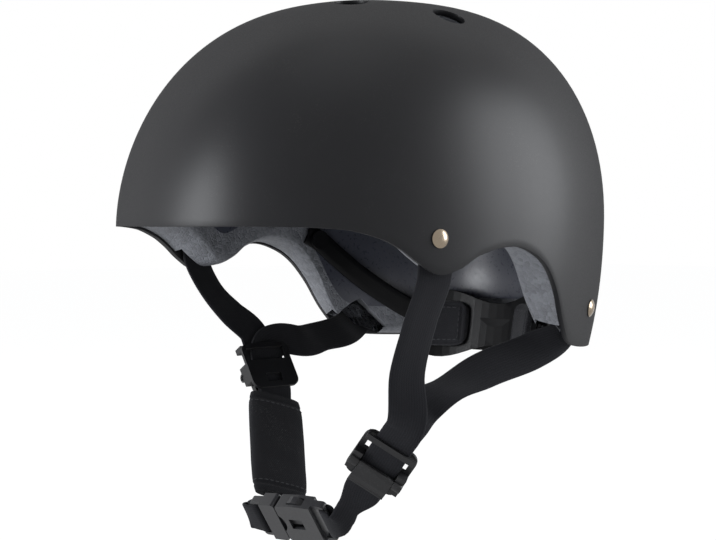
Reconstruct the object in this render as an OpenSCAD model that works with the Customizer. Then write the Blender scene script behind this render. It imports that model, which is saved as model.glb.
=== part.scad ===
// Skate helmet: hard shell, foam liner, dial fit ring and Y straps with a side release buckle.
// Millimetres. +Z is up, the brow faces -Y, the wearer's left is +X.
// The origin is the centre of the head opening at the height of the front brim.

/* [Shell] */
// Width of the shell over the ears
shell_w = 220; // [206:1:232]
// Length of the shell in front of its widest line
shell_front = 141; // [132:1:150]
// Length of the shell behind its widest line
shell_rear = 135; // [127:1:144]
// Height of the crown over the brim
shell_h = 121.5; // [115:0.5:130]
// Wall of the shell
shell_wall = 3; // [2.4:0.1:3.6]
// How far the crown leans back, per millimetre of height
crown_lean = 0.08; // [0.04:0.01:0.12]
// Squareness of the plan, 2 is an ellipse
plan_power = 2.3; // [2.1:0.05:2.5]
// Fullness of the dome, 2 is an ellipse
dome_power = 2.64; // [2.4:0.04:2.9]
// How much the skirt tucks in towards the neck, as a share of the half width
skirt_tuck = 0.07; // [0.03:0.01:0.09]
// Drop of the front brim below the origin
brim_drop = 1; // [0:0.5:3]
// Drop of the strap tabs in front of the ears
tab_drop = 25; // [21:1:30]
// Drop of the top of the ear arches
arch_drop = 11.2; // [9:0.2:14]
// Drop of the rear skirt
tail_drop = 65; // [61:1:68]

/* [Vents] */
// Diameter of a crown vent
vent_d = 18; // [12:1:22]
// Plan places of the vents on the left, mirrored to the right
vent_front_x = 25; // [21:1:30]
// Front vents, distance in front of the origin
vent_front_y = 32; // [27:1:37]
// Side vents, distance from the centre plane
vent_side_x = 57; // [50:1:60]
// Rear vents, distance behind the origin
vent_rear_y = 50; // [45:1:55]

/* [Liner and pads] */
// Wall of the foam liner
liner_wall = 20; // [17:1:22]
// Clearance between shell and liner
liner_gap = 0.3; // [0.2:0.1:0.5]
// How much thinner the liner is at the rear skirt
liner_taper = 6; // [3:1:8]
// Thickness of a comfort pad at its middle
pad_t = 7; // [5:0.5:8]
// Width of the brow pad band
brow_pad_h = 30; // [22:1:36]
// Width of the side pads
side_pad_h = 26; // [18:1:32]
// Radius of the crown pad
crown_pad_r = 30; // [24:1:34]

/* [Rivets] */
// Shank diameter of a strap rivet
rivet_d = 4.6; // [4:0.1:5]
// Head diameter of a strap rivet
rivet_head_d = 9.5; // [8:0.5:11]
// Head height of a strap rivet
rivet_head_t = 1.7; // [1.2:0.1:2.2]
// Outer diameter of a rivet washer
washer_d = 13; // [11:0.5:15]
// Thickness of a rivet washer
washer_t = 1.2; // [1:0.1:1.5]

/* [Webbing] */
// Width of the webbing
web_w = 20; // [19:0.25:20.5]
// Thickness of the webbing
web_t = 1.5; // [1.2:0.05:1.6]

/* [Fit ring] */
// Width of a fit band
band_w = 12; // [9:0.5:14]
// Thickness of a fit band
band_t = 1.6; // [1.2:0.1:1.8]
// Teeth on the pinion
pinion_teeth = 12; // [11:1:14]
// Module of the pinion and racks
gear_module = 0.8; // [0.7:0.05:0.85]
// Diameter of the fit dial
dial_d = 32; // [28:1:36]
// Thickness of the fit dial
dial_t = 8; // [6:0.5:9]
// Grips round the fit dial
dial_grips = 14; // [10:1:18]
// Thickness of the cradle
cradle_t = 2.5; // [2:0.1:3]

/* [Buckle] */
// Width of the buckle
buckle_w = 27; // [27:0.5:30]
// Thickness of the buckle
buckle_t = 9; // [8.5:0.25:10]
// Length of the closed buckle
buckle_l = 46; // [44:1:50]

/* [Dividers] */
// Width of a strap divider
divider_w = 31; // [30:0.5:34]
// Length of a strap divider
divider_l = 28; // [26:0.5:31]

/* [Chin pad] */
// Width of the chin pad sleeve
chin_pad_w = 34; // [30:1:38]
// Thickness of the chin pad sleeve
chin_pad_t = 9; // [8:0.5:11]
// Length of the chin pad sleeve
chin_pad_l = 62; // [56:1:63]

/* [Hidden] */

// Small helpers
function unit(v) = v / norm(v);
function spow(v, e) = sign(v) * pow(abs(v), e);
function mix(a, b, t) = a + (b - a) * t;
function clamp01(t) = min(1, max(0, t));
function smooth(t) = let(s = clamp01(t)) s * s * (3 - 2 * s);

// Dome surface: a is the angle in plan from the brow, z the height, inset the depth below the outer face
lean_blend = 20;
skirt_ref = 70;
function level(z, h) = z >= 0
    ? pow(max(0, 1 - pow(z / h, 2)), 1 / dome_power)
    : 1 - skirt_tuck * pow(z / skirt_ref, 2);
function lean(z) = crown_lean * (z + sqrt(z * z + lean_blend * lean_blend)) / 2;
function dome(a, z, inset) = let(
        g = level(z, shell_h - inset),
        l = (cos(a) > 0 ? shell_front : shell_rear) - inset)
    [(shell_w / 2 - inset) * spow(sin(a), 2 / plan_power) * g,
     -l * spow(cos(a), 2 / plan_power) * g + lean(z), z];
function dome_normal(a, z) = unit(cross(
    dome(a + 1, z, 0) - dome(a - 1, z, 0), dome(a, z + 1, 0) - dome(a, z - 1, 0)));

// Rows run from the rim to the crown by an even turn, and the turn below the origin is straight
function turn_of(z, h) = z < 0 ? z / h * 180 / PI : asin(min(1, z / h));
function height_of(q, h) = q < 0 ? q * h * PI / 180 : h * sin(q);

// Rim of the shell: angle in plan and height, from the brow to the neck
rim_marks = [[-20, -brim_drop], [0, -brim_drop], [30, -brim_drop], [52, -brim_drop - 1.5],
    [61, -brim_drop - 6], [66, -0.5 * tab_drop], [70, -0.76 * tab_drop], [75, -tab_drop],
    [80, -0.88 * tab_drop], [84, -mix(tab_drop, arch_drop, 0.66)], [91, -arch_drop],
    [96.5, -arch_drop - 4], [100.5, -mix(arch_drop, tail_drop, 0.2)],
    [104.5, -mix(arch_drop, tail_drop, 0.42)], [108.5, -mix(arch_drop, tail_drop, 0.71)],
    [113, -mix(arch_drop, tail_drop, 0.92)], [119, -tail_drop], [140, -tail_drop - 1],
    [180, -tail_drop], [200, -tail_drop]];
function mark_at(a, i = 1) = (i >= len(rim_marks) - 3 || a < rim_marks[i + 1].x) ? i : mark_at(a, i + 1);
function slope_at(i) = (rim_marks[i + 1].y - rim_marks[i - 1].y) / (rim_marks[i + 1].x - rim_marks[i - 1].x);
function rim_z(angle) = let(
        a = angle > 180 ? 360 - angle : abs(angle), i = mark_at(a),
        w = rim_marks[i + 1].x - rim_marks[i].x, t = (a - rim_marks[i].x) / w)
    (2 * t * t * t - 3 * t * t + 1) * rim_marks[i].y + (t * t * t - 2 * t * t + t) * w * slope_at(i)
    + (3 * t * t - 2 * t * t * t) * rim_marks[i + 1].y + (t * t * t - t * t) * w * slope_at(i + 1);

// Plan angles of the columns, closer where the rim is steep
half_turn = concat([for (a = [0:9:54]) a], [for (a = [60:2.8:116]) a], [for (a = [122:9.6:171]) a]);
columns = concat(half_turn, [180], [for (i = [len(half_turn) - 1:-1:1]) 360 - half_turn[i]]);
dome_rows = 9;

// Closed bowl between an outer stack of rings and an inner one, each from rim to crown
module bowl(outer, inner, top_out, top_in) {
    m = len(outer[0]);
    n = len(outer);
    k = n * m;
    polyhedron(points = concat([for (r = outer) each r], [for (r = inner) each r], [top_out, top_in]),
        faces = concat(
            [for (i = [0:n - 2], j = [0:m - 1]) let(e = (j + 1) % m)
                each [[i * m + j, (i + 1) * m + j, (i + 1) * m + e], [i * m + j, (i + 1) * m + e, i * m + e]]],
            [for (j = [0:m - 1]) [(n - 1) * m + j, 2 * k, (n - 1) * m + (j + 1) % m]],
            [for (i = [0:n - 2], j = [0:m - 1]) let(e = (j + 1) % m)
                each [[k + i * m + j, k + (i + 1) * m + e, k + (i + 1) * m + j],
                    [k + i * m + j, k + i * m + e, k + (i + 1) * m + e]]],
            [for (j = [0:m - 1]) [k + (n - 1) * m + j, k + (n - 1) * m + (j + 1) % m, 2 * k + 1]],
            [for (j = [0:m - 1]) let(e = (j + 1) % m) each [[j, e, k + e], [j, k + e, k + j]]]));
}

// Rings of the dome at one inset, from a rim height that may change with the angle
function dome_ring(inset, rise, share) = [for (a = columns) let(
        h = shell_h - inset, q = turn_of(rim_z(a) + rise, h), z = height_of(mix(q, 90, share), h))
    dome(a, z, inset)];
function crown_point(inset) = [0, lean(shell_h - inset), shell_h - inset];

// Closed slab between two grids of points, both grid[row][column]
module slab(front, back) {
    n = len(front);
    m = len(front[0]);
    k = n * m;
    function at(i, j) = i * m + j;
    polyhedron(points = concat([for (r = front) each r], [for (r = back) each r]),
        faces = concat(
            [for (i = [0:n - 2], j = [0:m - 2])
                each [[at(i, j), at(i + 1, j), at(i + 1, j + 1)], [at(i, j), at(i + 1, j + 1), at(i, j + 1)]]],
            [for (i = [0:n - 2], j = [0:m - 2])
                each [[k + at(i, j), k + at(i + 1, j + 1), k + at(i + 1, j)],
                    [k + at(i, j), k + at(i, j + 1), k + at(i + 1, j + 1)]]],
            [for (j = [0:m - 2]) each [[at(0, j), at(0, j + 1), k + at(0, j + 1)],
                [at(0, j), k + at(0, j + 1), k + at(0, j)]]],
            [for (j = [0:m - 2]) each [[at(n - 1, j + 1), at(n - 1, j), k + at(n - 1, j)],
                [at(n - 1, j + 1), k + at(n - 1, j), k + at(n - 1, j + 1)]]],
            [for (i = [0:n - 2]) each [[at(i + 1, 0), at(i, 0), k + at(i, 0)],
                [at(i + 1, 0), k + at(i, 0), k + at(i + 1, 0)]]],
            [for (i = [0:n - 2]) each [[at(i, m - 1), at(i + 1, m - 1), k + at(i + 1, m - 1)],
                [at(i, m - 1), k + at(i + 1, m - 1), k + at(i, m - 1)]]]));
}

// Strip of webbing or band along stations [centre, across direction, width]
ribbon_steps = 4;
function hermite(p, q, mp, mq, t) = p * (2 * t * t * t - 3 * t * t + 1) + mp * (t * t * t - 2 * t * t + t)
    + q * (3 * t * t - 2 * t * t * t) + mq * (t * t * t - t * t);
function picked(s, i) = s[min(len(s) - 1, max(0, i))];
// Slope of field f at station i per step of length d, weighted by the distances to its neighbours
function slope(s, f, i, d) = let(
        a = norm(s[i][0] - picked(s, i - 1)[0]), b = norm(picked(s, i + 1)[0] - s[i][0]),
        before = a > 0 ? (s[i][f] - picked(s, i - 1)[f]) / a : (s[i + 1][f] - s[i][f]) / b,
        after = b > 0 ? (picked(s, i + 1)[f] - s[i][f]) / b : before)
    d * (before * b + after * a) / (a + b);
function smoothed(s, f) = concat(
    [for (i = [0:len(s) - 2]) let(
            d = norm(s[i + 1][0] - s[i][0]), mp = slope(s, f, i, d), mq = slope(s, f, i + 1, d))
        each [for (k = [0:ribbon_steps - 1]) hermite(s[i][f], s[i + 1][f], mp, mq, k / ribbon_steps)]],
    [s[len(s) - 1][f]]);
module ribbon(stations, t) {
    c = smoothed(stations, 0);
    across = smoothed(stations, 1);
    w = smoothed(stations, 2);
    n = len(c);
    rings = [for (i = [0:n - 1]) let(
            along = unit(c[min(n - 1, i + 1)] - c[max(0, i - 1)]),
            e = unit(across[i] - (across[i] * along) * along), up = cross(along, e))
        [c[i] - e * w[i] / 2 - up * t / 2, c[i] + e * w[i] / 2 - up * t / 2,
         c[i] + e * w[i] / 2 + up * t / 2, c[i] - e * w[i] / 2 + up * t / 2]];
    polyhedron(points = [for (r = rings) each r],
        faces = concat([[0, 1, 2], [0, 2, 3]],
            [for (i = [0:n - 2], j = [0:3]) let(e = (j + 1) % 4)
                each j < 2
                    ? [[4 * i + j, 4 * i + 4 + e, 4 * i + e], [4 * i + j, 4 * i + 4 + j, 4 * i + 4 + e]]
                    : [[4 * i + j, 4 * i + 4 + j, 4 * i + e], [4 * i + e, 4 * i + 4 + j, 4 * i + 4 + e]]],
            [[4 * n - 4, 4 * n - 2, 4 * n - 3], [4 * n - 4, 4 * n - 1, 4 * n - 2]]));
}

// Stands children on a point, with local X along one direction and local Z near another
module placed(o, x, n) {
    ax = unit(x);
    az = unit(n - (n * ax) * ax);
    ay = cross(az, ax);
    multmatrix([[ax.x, ay.x, az.x, o.x], [ax.y, ay.y, az.y, o.y], [ax.z, ay.z, az.z, o.z], [0, 0, 0, 1]])
        children();
}
function in_frame(o, x, n, p) = let(
        ax = unit(x), az = unit(n - (n * ax) * ax), ay = cross(az, ax))
    o + ax * p.x + ay * p.y + az * p.z;
module both_sides() {
    children();
    mirror([1, 0, 0]) children();
}
module rounded_plate(w, l, t, r) {
    linear_extrude(t) hull() for (x = [-1, 1], y = [-1, 1])
        translate([x * (w / 2 - r), y * (l / 2 - r)]) circle(r, $fn = 32);
}

// Vents
vent_side_y = 9;
vent_spots = [[vent_front_x, -vent_front_y], [vent_side_x, vent_side_y], [vent_front_x, vent_rear_y]];
vent_reach = 36;
function vent_angle(v) = let(
        l = v.y - lean(shell_h) < 0 ? shell_front : shell_rear,
        sx = v.x / shell_w * 2, sy = -(v.y - lean(shell_h)) / l)
    atan2(pow(sx, plan_power / 2), spow(sy, plan_power / 2));
function vent_level(v) = let(
        l = v.y - lean(shell_h) < 0 ? shell_front : shell_rear,
        sx = v.x / shell_w * 2, sy = abs(v.y - lean(shell_h)) / l)
    pow(pow(sx, plan_power) + pow(sy, plan_power), 1 / plan_power);
function vent_z(v) = shell_h * sqrt(1 - pow(vent_level(v), dome_power));
// Stands children on the dome, with local X along the level line and local Z out of the surface
module on_dome(a, z, inset) {
    placed(dome(a, z, inset), dome(a + 1, z, 0) - dome(a - 1, z, 0), dome_normal(a, z)) children();
}
module vents(d) {
    both_sides() for (v = vent_spots) on_dome(vent_angle(v), vent_z(v), 0)
        translate([0, 0, -vent_reach]) cylinder(h = 1.5 * vent_reach, d = d, $fn = 48);
}

// Strap rivets: plan angle and height, front then rear
rivet_spots = [[74.8, -7], [125.2, -45]];
// Lean of the webbing at each rivet
rivet_slants = [0, 45];
rivet_play = 0.1;
web_gap = 0.15;
web_bow = 1.12;
strap_inset = shell_wall + web_bow + web_gap + web_t / 2;
washer_inset = shell_wall + web_bow + 2 * web_gap + web_t;
tail_t = 1.2;
pocket_depth = washer_inset + washer_t + tail_t + 1;
module at_rivet(s) {
    on_dome(s.x, s.y, 0) children();
}
module rivet_bore() {
    translate([0, 0, -2 * pocket_depth]) cylinder(h = 4 * pocket_depth, d = rivet_d + 2 * rivet_play, $fn = 32);
}
module rivet() {
    translate([0, 0, -washer_inset - washer_t - tail_t])
        cylinder(h = washer_inset + washer_t + tail_t + 0.8, d = rivet_d, $fn = 32);
    translate([0, 0, -washer_inset - washer_t - tail_t]) cylinder(h = tail_t - 0.05, d = 1.6 * rivet_d, $fn = 32);
    crown = (pow(rivet_head_d / 2, 2) + pow(rivet_head_t, 2)) / (2 * rivet_head_t);
    intersection() {
        translate([0, 0, 0.5 + rivet_head_t - crown]) sphere(crown, $fn = 64);
        translate([0, 0, 0.12]) cylinder(h = rivet_head_t + 1, d = rivet_head_d, $fn = 48);
    }
}

// Liner
liner_out = shell_wall + liner_gap;
liner_rise = 1.2;
inner_edge_rise = 3.5;
function taper(z) = liner_taper * smooth((-28 - z) / 36);
function liner_in(z) = liner_out + liner_wall - taper(z);
function liner_ring(rise, share) = [for (a = columns) let(
        h = shell_h - liner_out - liner_wall, q = turn_of(rim_z(a) + rise, h),
        z = height_of(mix(q, 90, share), h))
    dome(a, z, liner_in(z))];

// Band seats at the temples
anchor_a = 104;
anchor_z = -9;
anchor_d = 4;
band_clear = 1;
band_inset = liner_out + liner_wall + band_clear + band_t / 2;

module outer_shell() {
    color([0.16, 0.16, 0.17]) difference() {
        bowl([for (i = [0:dome_rows - 1]) dome_ring(0, 0, i / dome_rows)],
            [for (i = [0:dome_rows - 1]) dome_ring(shell_wall, 0, i / dome_rows)],
            crown_point(0), crown_point(shell_wall));
        vents(vent_d);
        both_sides() for (s = rivet_spots) at_rivet(s) rivet_bore();
    }
}

// Strap pockets run from above each rivet down through the rim, so that the webbing lies against the shell
pocket_w = web_w + 10;
pocket_drop = 60;
pocket_rise = 0.6 * web_w;
exit_depth = 2.3 * pocket_depth;
exit_low = 10;
module strap_pocket(k) {
    at_rivet(rivet_spots[k]) rotate([0, 0, -rivet_slants[k]]) translate([-pocket_w / 2, -pocket_drop, 0]) {
        translate([0, 0, -pocket_depth]) cube([pocket_w, pocket_drop + pocket_rise, pocket_depth]);
        // Deeper towards the rim, where the webbing leaves the shell
        if (k == 1) translate([0, 0, -exit_depth]) cube([pocket_w, pocket_drop - exit_low, exit_depth]);
    }
}
mech_z = -62;
mech_y = shell_rear - 34.6;
housing_w = 54;
housing_h = 22;
// Room in the liner for the housing and for the dial's travel
dial_room_w = 68;
dial_room_ahead = 30;
dial_room_back = 17;
dial_room_low = -90;
dial_room_high = mech_z + 19;
module dial_pocket() {
    translate([-dial_room_w / 2, mech_y - dial_room_ahead, dial_room_low])
        cube([dial_room_w, dial_room_ahead + dial_room_back, dial_room_high - dial_room_low]);
}
module eps_liner() {
    color([0.25, 0.25, 0.26]) difference() {
        bowl([for (i = [0:dome_rows - 1]) dome_ring(liner_out, liner_rise, i / dome_rows)],
            [for (i = [0:dome_rows - 1]) liner_ring(liner_rise + inner_edge_rise, i / dome_rows)],
            crown_point(liner_out), crown_point(liner_out + liner_wall));
        vents(vent_d);
        both_sides() for (k = [0, 1]) strap_pocket(k);
        both_sides() placed(dome(anchor_a, anchor_z, band_inset), [0, 0, 1], dome_normal(anchor_a, anchor_z))
            cylinder(h = 12, d = anchor_d + 0.4, $fn = 32);
        dial_pocket();
    }
}

// Pads: a pad lies on the liner between two angles and two heights, and swells towards the head
pad_clear = 0.7;
pad_edge_t = 2.2;
function swell(s) = 1 - pow(abs(2 * s - 1), 4);
module pad(a0, a1, z0, z1, t, base) {
    nu = max(6, round(abs(a1 - a0) / 6));
    nv = 7;
    // The corners are drawn in, so that the outline is a rounded one
    function pa(u, v) = mix(a0, a1, 0.5 + (u - 0.5) * (0.86 + 0.14 * sqrt(swell(v))));
    function pz(u, v) = mix(z0, z1, 0.5 + (v - 0.5) * (0.78 + 0.22 * sqrt(swell(u))));
    function face(d, full) = [for (i = [0:nu]) [for (j = [0:nv]) let(u = i / nu, v = j / nv)
        dome(pa(u, v), pz(u, v), d + (full ? pad_edge_t + (t - pad_edge_t) * sqrt(swell(u) * swell(v)) : 0))]];
    slab(face(base, true), face(base, false));
}
pad_base = liner_out + liner_wall + pad_clear;
module brow_pad() {
    color([0.2, 0.2, 0.21]) pad(-50, 50, 8, 8 + brow_pad_h, pad_t, pad_base);
}
module left_side_pad() {
    color([0.2, 0.2, 0.21]) pad(57, 96, 14, 14 + side_pad_h, pad_t, pad_base);
}
module right_side_pad() {
    mirror([1, 0, 0]) left_side_pad();
}
module crown_pad() {
    m = 24;
    rows = 5;
    top = shell_h - pad_base;
    function ring(r, d) = [for (j = [0:m - 1]) let(
            x = r * cos(360 * j / m), y = r * sin(360 * j / m),
            g = pow(pow(abs(x) / (shell_w / 2 - pad_base), plan_power)
                + pow(abs(y) / (shell_front - pad_base), plan_power), 1 / plan_power))
        [x, y + lean(top), top * sqrt(1 - pow(g, dome_power)) - d]];
    color([0.2, 0.2, 0.21]) bowl(
        [for (i = [0:rows - 1]) ring(crown_pad_r * (1 - i / rows), 0.4)],
        [for (i = [0:rows - 1]) ring(crown_pad_r * (1 - i / rows),
            0.4 + pad_edge_t + (pad_t - pad_edge_t) * sqrt(1 - pow(1 - i / rows, 4)))],
        [0, lean(top), top - 0.4], [0, lean(top), top - 0.4 - pad_t]);
}

module front_rivets() {
    color([0.75, 0.72, 0.68]) both_sides() at_rivet(rivet_spots[0]) rivet();
}
module rear_rivets() {
    color([0.75, 0.72, 0.68]) both_sides() at_rivet(rivet_spots[1]) rivet();
}
module rivet_washers() {
    color([0.7, 0.7, 0.7]) both_sides() for (s = rivet_spots) at_rivet(s) difference() {
        translate([0, 0, -washer_inset - washer_t]) cylinder(h = washer_t - 0.05, d = washer_d, $fn = 40);
        rivet_bore();
    }
}

// Buckle frame: local X points to the plug, local Z out of its face
buckle_at = [10, -58, -154];
buckle_x = [-0.9537, -0.3007, 0];
buckle_n = [0.23, -0.73, -0.64];
bar_r = 1.3;
loop_r = bar_r + web_gap + web_t / 2;
socket_bar_x = -buckle_l / 2 + bar_r;
plug_bar_x = buckle_l / 2 - bar_r;
module at_buckle() {
    placed(buckle_at, buckle_x, buckle_n) children();
}
function buckle_pt(p) = in_frame(buckle_at, buckle_x, buckle_n, p);
buckle_across = unit(cross(buckle_n, buckle_x));

// Dividers: local X runs down along the webbing, local Z points outwards
left_div_at = [62, -43.9, -122.5];
left_div_x = [-0.635, -0.11, -0.763];
left_div_n = [0.62, -0.74, -0.28];
right_div_at = [-62, -21, -80];
right_div_x = [0.528, 0.005, -0.849];
right_div_n = [-0.826, 0.05, -0.57];
ply = web_t / 2 + web_gap;
function left_div_pt(p) = in_frame(left_div_at, left_div_x, left_div_n, p);
function right_div_pt(p) = in_frame(right_div_at, right_div_x, right_div_n, p);
left_div_across = unit(cross(left_div_n, left_div_x));
right_div_across = unit(cross(right_div_n, right_div_x));

// Chin pad: a sleeve along the straight run between the right divider and the plug
chin_top = [-54.4, -21.8, -93.5];
chin_foot = [-22, -43, -147];
chin_dir = unit(chin_foot - chin_top);
chin_n = [-0.80, 0.02, -0.45];
chin_across = -unit(cross(chin_n, chin_dir));
function chin_pt(t, side) = mix(chin_top, chin_foot, t)
    + side * ply * unit(chin_n - (chin_n * chin_dir) * chin_dir);

// One run of webbing a side: front rivet, divider, round the buckle's bar, divider, rear rivet
// Place and direction across at t along the webbing past a rivet, turned from upright by slant
function rivet_pt(side, s, slant, t) = let(
        arc = norm(dome(s.x + 1, s.y, 0) - dome(s.x - 1, s.y, 0)) / 2,
        p = dome(s.x + t * sin(slant) / arc, s.y + t * cos(slant), strap_inset)) [side * p.x, p.y, p.z];
function rim_across(side, s, slant) = let(
        level = unit(dome(s.x + 1, s.y, 0) - dome(s.x - 1, s.y, 0)),
        rise = unit(dome(s.x, s.y + 1, 0) - dome(s.x, s.y - 1, 0)),
        d = level * cos(slant) - rise * sin(slant)) [side * d.x, d.y, d.z];
function rivet_run(side, k, ts) = [for (t = ts) [rivet_pt(side, rivet_spots[k], rivet_slants[k], t),
    rim_across(side, rivet_spots[k], rivet_slants[k]), web_w]];
loop_turn = [-90, -45, 0, 45, 90];
// Plies from the left divider's foot to the socket's bar, and the last straight before each bar
function foot_station(side) = [
    mix(left_div_pt([19, 0, side * ply]), buckle_pt([socket_bar_x, 0, side * loop_r]), 0.45) + [0.8, 0, -1.4],
    unit(mix(left_div_across, buckle_across, 0.5)), 0.62 * web_w];
function bar_station(side) = [buckle_pt([socket_bar_x - 5, 0, side * loop_r]), buckle_across, 0.8 * web_w];
// Turn from the chin pad's foot to the plug's bar, where the webbing gathers: place, heading,
// direction across, half the plies' distance, share of the width
chin_turn = [
    [chin_foot + 1.6 * chin_dir, chin_dir, chin_across, ply, 1],
    [[-20.5, -48.5, -152.3], [0.1, -0.8, -0.55], [0.4, 0.59, -0.7], 1.2, 0.7],
    [[-20.6, -54.5, -154], [-0.05, -1, -0.1], [0.3, 0.25, -0.92], 1.5, 0.6],
    [[-20.2, -60.5, -154.2], [0.2, -0.98, 0], [0.05, 0.35, -0.93], 1.8, 0.6],
    [[-17.6, -65.3, -154.1], [0.75, -0.66, 0], [-0.1, 0.5, -0.86], 2.1, 0.75],
    [buckle_pt([plug_bar_x + 1.8, 0, 0]), -unit(buckle_x), buckle_across, loop_r, 0.95]];
function turned(side, order) = [for (i = order) let(c = chin_turn[i])
    [c[0] - side * c[3] * unit(cross(c[1], c[2])), unit(c[2]), c[4] * web_w]];
left_route = concat(
    rivet_run(1, 0, [10, 0, -10, -18]),
    [[[92, -43.5, -49], [0.1, 0.97, -0.1], web_w], [[82, -43.3, -75], [0.2, 0.95, -0.2], web_w]],
    [for (x = [-24, -17, -9, 0, 12, 19]) [left_div_pt([x, 0, ply]), left_div_across, web_w]],
    [foot_station(1), bar_station(1)],
    [for (t = loop_turn)
        [buckle_pt([socket_bar_x + loop_r * cos(t), 0, -loop_r * sin(t)]), buckle_across, web_w]],
    [bar_station(-1), foot_station(-1)],
    [for (x = [19, 12, 0, -10, -16]) [left_div_pt([x, 0, -ply]), left_div_across, web_w]],
    [[left_div_pt([-20.5, 0.2, -2.6]), left_div_across, web_w],
     [left_div_pt([-25, 1.5, -9.5]), [0.53, 0.4, -0.75], web_w],
     [[69.2, -20, -93], [0.6, 0.25, -0.75], web_w], [[71.5, -8, -86.5], [0.85, 0, -0.5], web_w],
     [[75.5, 17, -76], [0.5, 0.3, -0.8], web_w], [[80.5, 48, -66.7], [0.25, 0.4, -0.87], web_w]],
    rivet_run(1, 1, [-15, -8, 0, 9]));
// The rear leg turns in the plane of the right divider: place along and across it, and heading
right_bend = [[12, 0, 0], [2, 0, 0], [-7, -1.5, 22], [-14, -7, 55], [-16.5, -16, 85]];
right_route = concat(
    rivet_run(-1, 0, [10, 0, -11]),
    [[[-94.5, -38.5, -34], rim_across(-1, rivet_spots[0], 0), web_w],
     [[-84, -34, -50], [-0.15, 0.95, 0.25], web_w]],
    [for (x = [-22, -12, 0, 12]) [right_div_pt([x, 0, ply]), -right_div_across, web_w]],
    [for (t = [0.06, 0.2, 0.5, 0.88, 0.975]) [chin_pt(t, 1), chin_across, web_w]],
    turned(1, [0:5]),
    [for (t = loop_turn)
        [buckle_pt([plug_bar_x - loop_r * cos(t), 0, -loop_r * sin(t)]), buckle_across, web_w]],
    turned(-1, [5:-1:0]),
    [for (t = [0.975, 0.88, 0.5, 0.2, 0.06]) [chin_pt(t, -1), chin_across, web_w]],
    [for (b = right_bend) [right_div_pt([b.x, b.y, -ply]),
        unit(right_div_x) * sin(b.z) - right_div_across * cos(b.z), web_w]],
    [[[-65, 8, -67], [-0.1, -0.5, -0.85], web_w], [[-70, 24, -64], [0.15, -0.5, -0.85], web_w],
     [[-73.5, 46, -61.5], [0.3, -0.4, -0.87], web_w]],
    rivet_run(-1, 1, [-15, -8, 0, 9]));

module strap(route) {
    difference() {
        ribbon(route, web_t);
        children();
    }
}
module left_strap() {
    color([0.11, 0.11, 0.12]) strap(left_route) for (s = rivet_spots) at_rivet(s) rivet_bore();
}
module right_strap() {
    color([0.11, 0.11, 0.12]) strap(right_route)
        mirror([1, 0, 0]) for (s = rivet_spots) at_rivet(s) rivet_bore();
}

// Divider frame, local X runs down: ring at the top for the two legs, walls for the cam at the foot
div_back = -ply - web_t / 2 - web_gap;
div_front = ply + web_t / 2 + web_gap;
div_plate = 1.8;
div_wall = (divider_w - web_w - 1) / 2;
cam_x = 3.5;
cam_z = div_front + 2.6;
cam_pin_d = 3;
cam_play = 0.08;
module divider(rear) {
    color([0.1, 0.1, 0.105]) difference() {
        union() {
            difference() {
                translate([0, 0, div_back - div_plate]) rounded_plate(divider_l, divider_w, div_plate, 5);
                translate([-divider_l / 2 + 3.2, -divider_w / 2 + 3.2, div_back - div_plate - 1])
                    cube([7.5, divider_w - 6.4, div_plate + 2]);
                translate([cam_x + 2, -5, div_back - div_plate - 1]) cube([5, 10, div_plate + 2]);
            }
            // Hook over the legs at the top, open to the rear so that webbing can be slipped in
            translate([-divider_l / 2 + 0.5, -divider_w / 2 + 1, div_front + 0.15]) cube([3.2, divider_w - 2, 1.8]);
            translate([-divider_l / 2 + 0.5, rear < 0 ? divider_w / 2 - 2.4 : 1 - divider_w / 2, div_back - 0.2])
                cube([3.2, 1.4, div_front - div_back + 0.6]);
            // Cheeks that carry the cam
            for (s = [-1, 1]) translate([0, s > 0 ? divider_w / 2 - div_wall : -divider_w / 2, 0]) {
                translate([-2, 0, div_back - 0.2]) cube([11, div_wall, cam_z - div_back + 0.2]);
                translate([cam_x, 0, cam_z]) rotate([-90, 0, 0]) cylinder(h = div_wall, r = 2.6, $fn = 40);
            }
        }
        translate([cam_x, -divider_w, cam_z]) rotate([-90, 0, 0])
            cylinder(h = 2 * divider_w, d = cam_pin_d + 2 * cam_play, $fn = 32);
    }
}
cam_w = web_w + 0.4;
module cam() {
    color([0.13, 0.13, 0.135]) translate([cam_x, 0, cam_z]) {
        rotate([90, 0, 0]) cylinder(h = divider_w - 1.2, d = cam_pin_d, center = true, $fn = 32);
        rotate([90, 0, 0]) linear_extrude(cam_w, center = true) difference() {
            union() {
                circle(2.3, $fn = 40);
                polygon([[-1.1, -2.35], [1, -2.35], [2.1, 0], [-0.9, 1.9], [-2.1, 1]]);
                polygon([[0, 2.3], [1.6, -1.2], [9.5, -0.6], [10.6, 0.4], [10.4, 1.4], [6, 2.3]]);
            }
            // Grip groove at the lever's end
            translate([9.3, 2.2]) circle(0.9, $fn = 24);
        }
    }
}
module left_divider() {
    placed(left_div_at, left_div_x, left_div_n) divider(1);
}
module left_cam() {
    placed(left_div_at, left_div_x, left_div_n) cam();
}
module right_divider() {
    placed(right_div_at, right_div_x, right_div_n) divider(-1);
}
module right_cam() {
    placed(right_div_at, right_div_x, right_div_n) cam();
}

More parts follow.
